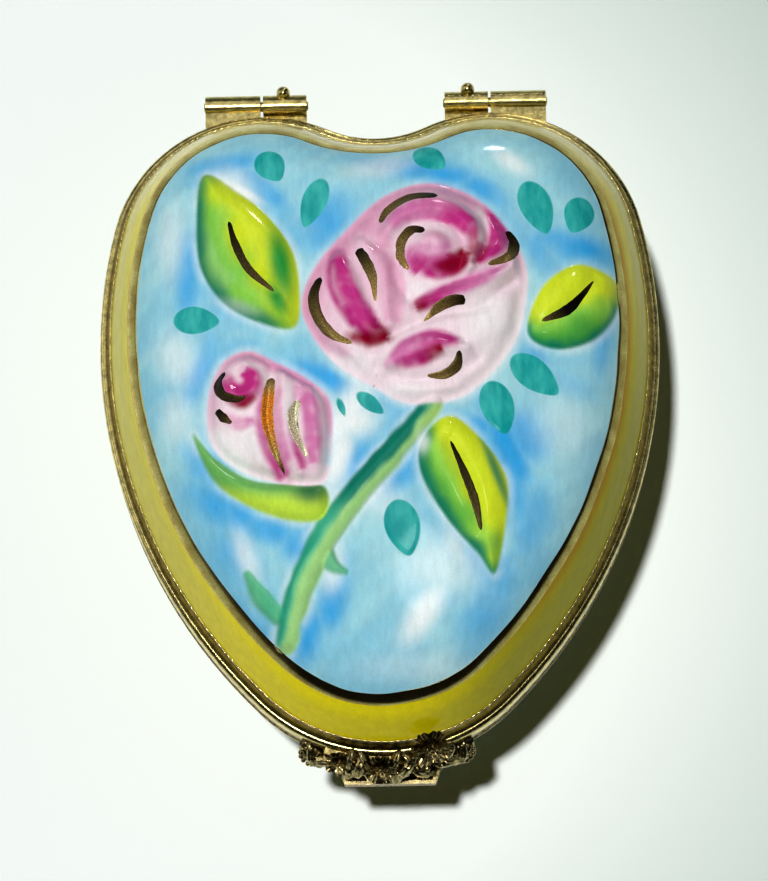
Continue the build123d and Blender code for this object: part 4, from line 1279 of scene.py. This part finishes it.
def ramp(tree, source, stops):
    """Colour ramp through stops of place and colour, where a number stands for a grey."""
    node = tree.nodes.new("ShaderNodeValToRGB")
    elements = node.color_ramp.elements
    while len(elements) < len(stops):
        elements.new(1.0)
    for element, (place, colour) in zip(elements, stops):
        element.position = place
        element.color = (*(3 * (colour,) if isinstance(colour, float) else colour), 1.0)
    tree.links.new(source, node.inputs["Fac"])
    return node.outputs["Color"]


def blend(tree, kind, factor, first, second):
    """Mixes two colours, each a socket or a plain colour. factor is a socket or a number."""
    node = add_node(tree, "ShaderNodeMix", data_type="RGBA", blend_type=kind)
    for socket, value in ((node.inputs[0], factor), (node.inputs[6], first), (node.inputs[7], second)):
        if hasattr(value, "links"):
            tree.links.new(value, socket)
        elif isinstance(value, (int, float)):
            socket.default_value = value
        else:
            socket.default_value = (*value, 1.0)
    return node.outputs[2]


def multiply(tree, first, second):
    """Tints one colour by another."""
    return blend(tree, "MULTIPLY", 1.0, first, second)


def multiply_add(tree, source, factor, addend):
    """Number times factor, plus a number or a socket."""
    node = add_node(tree, "ShaderNodeMath", operation="MULTIPLY_ADD")
    tree.links.new(source, node.inputs[0])
    node.inputs[1].default_value = factor
    if hasattr(addend, "links"):
        tree.links.new(addend, node.inputs[2])
    else:
        node.inputs[2].default_value = addend
    return node.outputs[0]


def bump(tree, shader, source, strength, distance):
    """Relief that is too fine for the mesh, distance in millimetres."""
    node = add_node(tree, "ShaderNodeBump", Strength=strength, Distance=distance * MM)
    tree.links.new(source, node.inputs["Height"])
    tree.links.new(node.outputs["Normal"], shader.inputs["Normal"])


def glaze(shader):
    """Satin paint under a thin clear glaze."""
    set_up(shader, Roughness=0.22, IOR=1.5, Specular_IOR_Level=0.12, Coat_Weight=0.42, Coat_Roughness=0.05)


def lid_porcelain_material():
    """Hand-painted porcelain: paint from the mesh, brush grain and enamel drops from nodes, under a glaze."""
    material, tree, shader, place = new_material("painted_lid_porcelain")
    paint = add_node(tree, "ShaderNodeAttribute", attribute_name="paint").outputs["Color"]
    streaks = noise(tree, place, 1.6, 5.0, 0.6, (1.0, 0.32, 1.0))
    grain = noise(tree, place, 6.0, 3.0, 0.6)
    paint = multiply(tree, paint, ramp(tree, streaks, [(0.3, 0.93), (0.7, 1.06)]))
    paint = multiply(tree, paint, ramp(tree, grain, [(0.3, 0.96), (0.7, 1.03)]))
    distance = add_node(tree, "ShaderNodeAttribute", attribute_name="drops").outputs["Fac"]
    mask = ramp(tree, distance, [(0.0, 0.96), (0.1, 0.0)])
    brush = noise(tree, place, 1.1, 3.0, 0.5, (1.0, 0.35, 1.0))
    enamel = ramp(tree, brush, [(0.36, tuple(TEAL)), (0.8, tuple(PALE_TEAL))])
    tree.links.new(blend(tree, "MIX", mask, paint, enamel), shader.inputs["Base Color"])
    glaze(shader)
    bump(tree, shader, noise(tree, place, 0.7, 3.0), 0.12, 0.12)
    return material


def add_dirt_and_shade(tree, place, colour, low, high):
    """Dirt and painted shade in a groove, between two levels."""
    dirt_and_shade_tone = (0.42, 0.34, 0.15)
    parts = tree.nodes.new("ShaderNodeSeparateXYZ")
    tree.links.new(place, parts.inputs["Vector"])
    level = add_node(tree, "ShaderNodeMapRange", From_Min=(SEAM_Z + low) * MM, From_Max=(SEAM_Z + high) * MM)
    tree.links.new(parts.outputs["Z"], level.inputs["Value"])
    # darker between the two levels: dirt and painted shade
    groove = ramp(tree, level.outputs[0], [(0.0, 1.0), (0.1, dirt_and_shade_tone), (0.88, dirt_and_shade_tone), (1.0, 1.0)])
    return multiply(tree, colour, groove)


def gilt(name, tone, rough, tarnish, grit=0.25, dirt_and_shade=None):
    """Gilt brass: bright where rubbed, browner where not, with fine scratches. Its last argument is a span of
    levels darkened by dirt and painted shade.
    """
    material, tree, shader, place = new_material(name)
    dark = tuple(c * (0.55 - 0.38 * tarnish) for c in tone)
    cloudy = noise(tree, place, 1.4, 5.0, 0.65)
    spots = noise(tree, place, 5.0, 4.0, 0.7)
    worn = ramp(tree, spots, [(0.36, 1.0 - 0.55 * tarnish), (0.6, 1.0)])
    colour = multiply(tree, ramp(tree, cloudy, [(0.34, dark), (0.62, tone)]), worn)
    if dirt_and_shade:
        colour = add_dirt_and_shade(tree, place, colour, *dirt_and_shade)
    tree.links.new(colour, shader.inputs["Base Color"])
    set_up(shader, Metallic=1.0)
    material["kind"] = "metal"
    rubbed = ramp(tree, spots, [(0.3, min(rough * 2.0, 0.7)), (0.65, rough)])
    tree.links.new(rubbed, shader.inputs["Roughness"])
    bump(tree, shader, noise(tree, place, 4.0, 6.0, 0.7, (1.0, 1.0, 3.0)), grit, 0.05)
    return material


def gilding(name, polish):
    """Fired-on gold: a thin, slightly granular leaf."""
    material, tree, shader, place = new_material(name)
    grains = noise(tree, place, 7.0, 5.0, 0.7)
    broad = noise(tree, place, 0.5, 3.0)
    dark, gold, bright = (0.50, 0.40, 0.13), (0.76, 0.63, 0.25), (0.95, 0.85, 0.45)
    colour = ramp(tree, grains, [(0.3, dark), (0.5, gold), (0.74, bright)])
    aged = ramp(tree, broad, [(0.35, (0.7, 0.62, 0.5)), (0.62, 1.0)])
    tree.links.new(multiply(tree, colour, aged), shader.inputs["Base Color"])
    set_up(shader, Metallic=1.0)
    material["kind"] = "leaf"
    rubbed = ramp(tree, grains, [(0.3, polish * 1.6), (0.7, polish)])
    tree.links.new(rubbed, shader.inputs["Roughness"])
    bump(tree, shader, grains, 0.2, polish * 0.2)
    return material


def brushed_gold():
    """Gold laid on by brush: granular where thick, burnt brown where it ran thin."""
    material, tree, shader, place = new_material("brushed_gold")
    shade = add_node(tree, "ShaderNodeAttribute", attribute_name="shade").outputs["Fac"]
    grains = noise(tree, place, 9.0, 5.0, 0.75)
    share = add_node(tree, "ShaderNodeMapRange", From_Max=3.0)
    tree.links.new(shade, share.inputs["Value"])
    burnt, gold = (0.010, 0.007, 0.004), (0.60, 0.44, 0.16)
    copper, pale = (1.0, 0.40, 0.05), (1.0, 0.97, 0.66)
    tint = ramp(tree, share.outputs[0], [(0.0, burnt), (0.333, gold), (0.667, copper), (1.0, pale)])
    speckle = ramp(tree, grains, [(0.36, 0.3), (0.5, 0.75), (0.66, 1.5)])
    tree.links.new(multiply(tree, tint, speckle), shader.inputs["Base Color"])
    set_up(shader, Metallic=0.6, Specular_IOR_Level=0.15)
    material["kind"] = "metal"
    tree.links.new(ramp(tree, grains, [(0.3, 0.5), (0.7, 0.34)]), shader.inputs["Roughness"])
    bump(tree, shader, grains, 0.4, 0.04)
    return material


def base_porcelain_material():
    """Base shell: the lid's blue wash below a yellow band, under the same glaze, and white inside."""
    material, tree, shader, place = new_material("painted_base_porcelain")
    yellow_from, yellow_to, uneven = 0.235, 0.245, 0.02  # shares of the height up to the seam
    split = tree.nodes.new("ShaderNodeSeparateXYZ")
    tree.links.new(place, split.inputs["Vector"])
    wash = noise(tree, place, 0.16, 5.0, 0.6, (1.0, 1.0, 2.2))
    pale, deep, white = tuple(PALE_WASH), tuple(DEEP_WASH), tuple(WHITE)
    ground = ramp(tree, wash, [(0.3, deep), (0.44, tuple(WASH)), (0.58, pale), (0.75, white)])
    streaks = noise(tree, place, 1.4, 5.0, 0.6, (1.0, 1.0, 0.3))
    ground = multiply(tree, ground, ramp(tree, streaks, [(0.3, 0.93), (0.7, 1.05)]))
    wander = multiply_add(tree, noise(tree, place, 0.3, 3.0), uneven, 0.0)
    height = multiply_add(tree, split.outputs["Z"], 1 / (SEAM_Z * MM), wander)
    bands = ramp(tree, height, [(yellow_from, 0.0), (yellow_to, 1.0)])
    colour = blend(tree, "MIX", bands, ground, tuple(YELLOW))
    inside = add_node(tree, "ShaderNodeAttribute", attribute_name="inside").outputs["Fac"]
    tree.links.new(blend(tree, "MIX", inside, colour, white), shader.inputs["Base Color"])
    glaze(shader)
    bump(tree, shader, noise(tree, place, 0.6, 3.0), 0.12, 0.12)
    return material


def cement_material():
    """Dull speckled cement."""
    material, tree, shader, place = new_material("bedding_cement")
    specks = noise(tree, place, 5.0, 5.0, 0.7)
    colour = ramp(tree, specks, [(0.3, (0.42, 0.38, 0.30)), (0.7, (0.72, 0.68, 0.58))])
    tree.links.new(colour, shader.inputs["Base Color"])
    set_up(shader, Roughness=0.85)
    bump(tree, shader, specks, 0.5, 0.08)
    return material


def floor_material():
    """Pale table top, lit round a place left of the box and dimmer away from it."""
    lit_place, lit_to, dim_from = (-22 * MM, 2 * MM, 0), 48 * MM, 300 * MM
    material, tree, shader, place = new_material("pale_floor")
    patches = noise(tree, place, 0.01, 2.0)
    colour = ramp(tree, patches, [(0.3, (0.88, 0.93, 0.91)), (0.7, (0.91, 0.95, 0.93))])
    away = add_node(tree, "ShaderNodeVectorMath", operation="DISTANCE")
    tree.links.new(place, away.inputs[0])
    away.inputs[1].default_value = lit_place
    fade = add_node(tree, "ShaderNodeMapRange", From_Min=lit_to, From_Max=dim_from)
    tree.links.new(away.outputs["Value"], fade.inputs["Value"])
    falloff = [(0.0, 1.0), (0.05, (0.85, 0.88, 0.86)), (0.11, (0.68, 0.735, 0.70)),
               (0.25, (0.58, 0.63, 0.60)), (1.0, (0.48, 0.53, 0.50))]
    dim = ramp(tree, fade.outputs[0], falloff)
    tree.links.new(multiply(tree, colour, dim), shader.inputs["Base Color"])
    set_up(shader, Roughness=0.75)
    return material


def dress_nodes():
    """Gives every CAD node a finished material. Castings and nodes replaced later take the cast gilt."""
    # the mount's groove takes dirt and painted shade
    mount = gilt("gilt_mount", (0.95, 0.80, 0.35), 0.16, 0.22, dirt_and_shade=(1.12, 1.72))
    hinge = gilt("gilt_hinge", (0.93, 0.79, 0.35), 0.15, 0.25)
    pin = gilt("brass_pin", (0.82, 0.70, 0.34), 0.14, 0.3)
    cast = gilt("cast_gilt", (0.66, 0.54, 0.23), 0.2, 0.7)
    cement = cement_material()
    # the tray's low floor takes dirt and painted shade under the clasp
    tray = gilt("tray_gilt", (0.84, 0.70, 0.36), 0.2, 0.6, dirt_and_shade=(-2.6, -1.5))
    chosen = {"base_bedding": cement, "lid_bedding": cement, "catch_tray": tray}
    for name, node in frame["nodes"].items():
        if name.endswith("_mount"):
            chosen[name] = mount
        elif "knuckle" in name or "bead" in name:
            chosen[name] = hinge
        elif "pin" in name:
            chosen[name] = pin
        material = chosen.get(name, cast)
        node.data.materials.clear()
        node.data.materials.append(material)


# ---------------------------------------------------------------- studio
# camera: degrees below the horizon, degrees round from behind the tip, roll, distance from its aim
CAMERA_TILT, CAMERA_TURN, CAMERA_ROLL, CAMERA_AWAY = 73.0, -1.5, 2.58, 350.0
VIEW_WIDE = 67.8086  # width of the view at the aim
# the aim: above the seam's middle, then to the right and down in the view
AIM_ABOVE, AIM_RIGHT, AIM_DOWN = 3.0, 0.19, 2.25


def add_camera():
    """Camera over the box's front, looking steeply down."""
    tilt, turn, roll = (math.radians(a) for a in (CAMERA_TILT, CAMERA_TURN, CAMERA_ROLL))
    ahead = Vector((math.sin(turn) * math.cos(tilt), math.cos(turn) * math.cos(tilt), -math.sin(tilt)))
    right = Vector((math.cos(turn), -math.sin(turn), 0))
    up = right.cross(ahead)
    aim = Vector((0, 0, SEAM_Z + AIM_ABOVE)) + right * AIM_RIGHT - up * AIM_DOWN
    rolled = right * math.cos(roll) - up * math.sin(roll)
    lifted = right * math.sin(roll) + up * math.cos(roll)
    place = (aim - ahead * CAMERA_AWAY) * MM
    data = bpy.data.cameras.new("camera")
    data.sensor_fit = "HORIZONTAL"
    data.sensor_width = 36.0
    data.lens = data.sensor_width * CAMERA_AWAY / VIEW_WIDE
    data.clip_start = 0.01
    camera = bpy.data.objects.new("camera", data)
    camera.matrix_world = Matrix(
        [
            (rolled.x, lifted.x, -ahead.x, place.x),
            (rolled.y, lifted.y, -ahead.y, place.y),
            (rolled.z, lifted.z, -ahead.z, place.z),
            (0, 0, 0, 1),
        ]
    )
    bpy.context.scene.collection.objects.link(camera)
    bpy.context.scene.camera = camera


KEY_FROM = (-0.14, -0.068, 0.988)  # towards the sun
LAMP_AWAY = 0.6  # metres
# lamps that only show in reflections: direction, radius in metres, radiance, what they light
LAMPS = {
    "overhead": ((0.085, 0.0, 0.996), 0.04, 6.0, "all"),
    "window": ((0.2, 0.86, 0.46), 0.035, 26.0, "all"),
    "behind": ((-0.12, 0.42, 0.9), 0.26, 0.75, "all"),
    "left": ((-0.82, 0.22, 0.5), 0.24, 0.9, "gilded"),
    "right": ((0.86, 0.2, 0.5), 0.2, 0.25, "gilded"),
    "spark": (KEY_FROM, 0.02, 260.0, "metal"),
}


def add_key():
    """Sun for the paint and the shadow. The lamps below make its glints."""
    data = bpy.data.lights.new("key", "SUN")
    data.energy = 3.2
    data.angle = math.radians(3.6)
    light = bpy.data.objects.new("key", data)
    light.rotation_euler = Vector(KEY_FROM).to_track_quat("Z", "Y").to_euler()
    light.visible_glossy = False
    bpy.context.scene.collection.objects.link(light)


def add_lamp(name, towards, radius, radiance):
    """Round lamp that only shows in reflections."""
    data = bpy.data.lights.new(name, "AREA")
    data.shape = "DISK"
    data.size = 2 * radius
    data.energy = (math.pi * radius) ** 2 * radiance  # a disc's power is pi times its area times its radiance
    light = bpy.data.objects.new(name, data)
    towards = Vector(towards).normalized()
    light.location = towards * LAMP_AWAY
    light.rotation_euler = towards.to_track_quat("Z", "Y").to_euler()
    light.visible_diffuse = False
    bpy.context.scene.collection.objects.link(light)
    return light


def add_lamps():
    """All the lamps. Those for gilded pieces miss the glaze, and the spark also misses the gold leaf."""
    lit = {name: bpy.data.collections.new(name) for name in ("metal", "gilded")}
    for piece in bpy.context.scene.objects:
        kind = piece.data.materials[0].get("kind") if piece.type == "MESH" and piece.data.materials else None
        if kind:
            lit["gilded"].objects.link(piece)
        if kind == "metal":
            lit["metal"].objects.link(piece)
    for name, (towards, radius, radiance, lights) in LAMPS.items():
        lamp = add_lamp(name, towards, radius, radiance)
        if lights in lit:
            lamp.light_linking.receiver_collection = lit[lights]


def add_world():
    """Dim room that is lighter low down on the left and behind, over a pale ground."""
    dim, glow_strength, ground_strength = 0.016, 0.2, 0.25
    world = bpy.data.worlds.new("studio")
    bpy.context.scene.world = world
    world.use_nodes = True
    tree = world.node_tree
    sky = tree.nodes["Background"]
    sky.inputs["Color"].default_value = (0.96, 1.0, 0.97, 1)
    direction = tree.nodes.new("ShaderNodeTexCoord").outputs["Generated"]
    parts = tree.nodes.new("ShaderNodeSeparateXYZ")
    tree.links.new(direction, parts.inputs["Vector"])
    side = add_node(tree, "ShaderNodeVectorMath", operation="DOT_PRODUCT")
    tree.links.new(direction, side.inputs[0])
    side.inputs[1].default_value = (-0.78, 0.62, 0.0)
    lit = ramp(tree, side.outputs["Value"], [(0.1, 0.0), (0.9, 1.0)])
    low = ramp(tree, parts.outputs["Z"], [(0.05, 1.0), (0.55, 0.0)])
    glow = add_node(tree, "ShaderNodeMath", operation="MULTIPLY")
    tree.links.new(lit, glow.inputs[0])
    tree.links.new(low, glow.inputs[1])
    room = multiply_add(tree, glow.outputs[0], glow_strength, dim)
    below = add_node(tree, "ShaderNodeMath", operation="LESS_THAN")
    tree.links.new(parts.outputs["Z"], below.inputs[0])
    below.inputs[1].default_value = 0.0
    tree.links.new(multiply_add(tree, below.outputs[0], ground_strength, room), sky.inputs["Strength"])


def add_floor():
    """Plain floor, half metres to each side."""
    mesh = bpy.data.meshes.new("floor")
    half = 1.5
    corners = [(-half, -half, 0), (half, -half, 0), (half, half, 0), (-half, half, 0)]
    mesh.from_pydata(corners, [], [(0, 1, 2, 3)])
    floor = bpy.data.objects.new("floor", mesh)
    mesh.materials.append(floor_material())
    floor.visible_diffuse = False  # the sky below the horizon stands in for its bounce
    bpy.context.scene.collection.objects.link(floor)


def add_studio():
    """Floor, room, sun and the way the picture is developed."""
    add_floor()
    add_world()
    add_key()
    bpy.context.scene.view_settings.view_transform = "Standard"
    bpy.context.scene.view_settings.gamma = 0.8


# ---------------------------------------------------------------- assemble
add_camera()
add_studio()
dress_nodes()
build_lid()
build_base()
build_dome_line()
build_gilt_strokes()
build_lip_wire()
build_decor_band()
build_castings()
add_lamps()
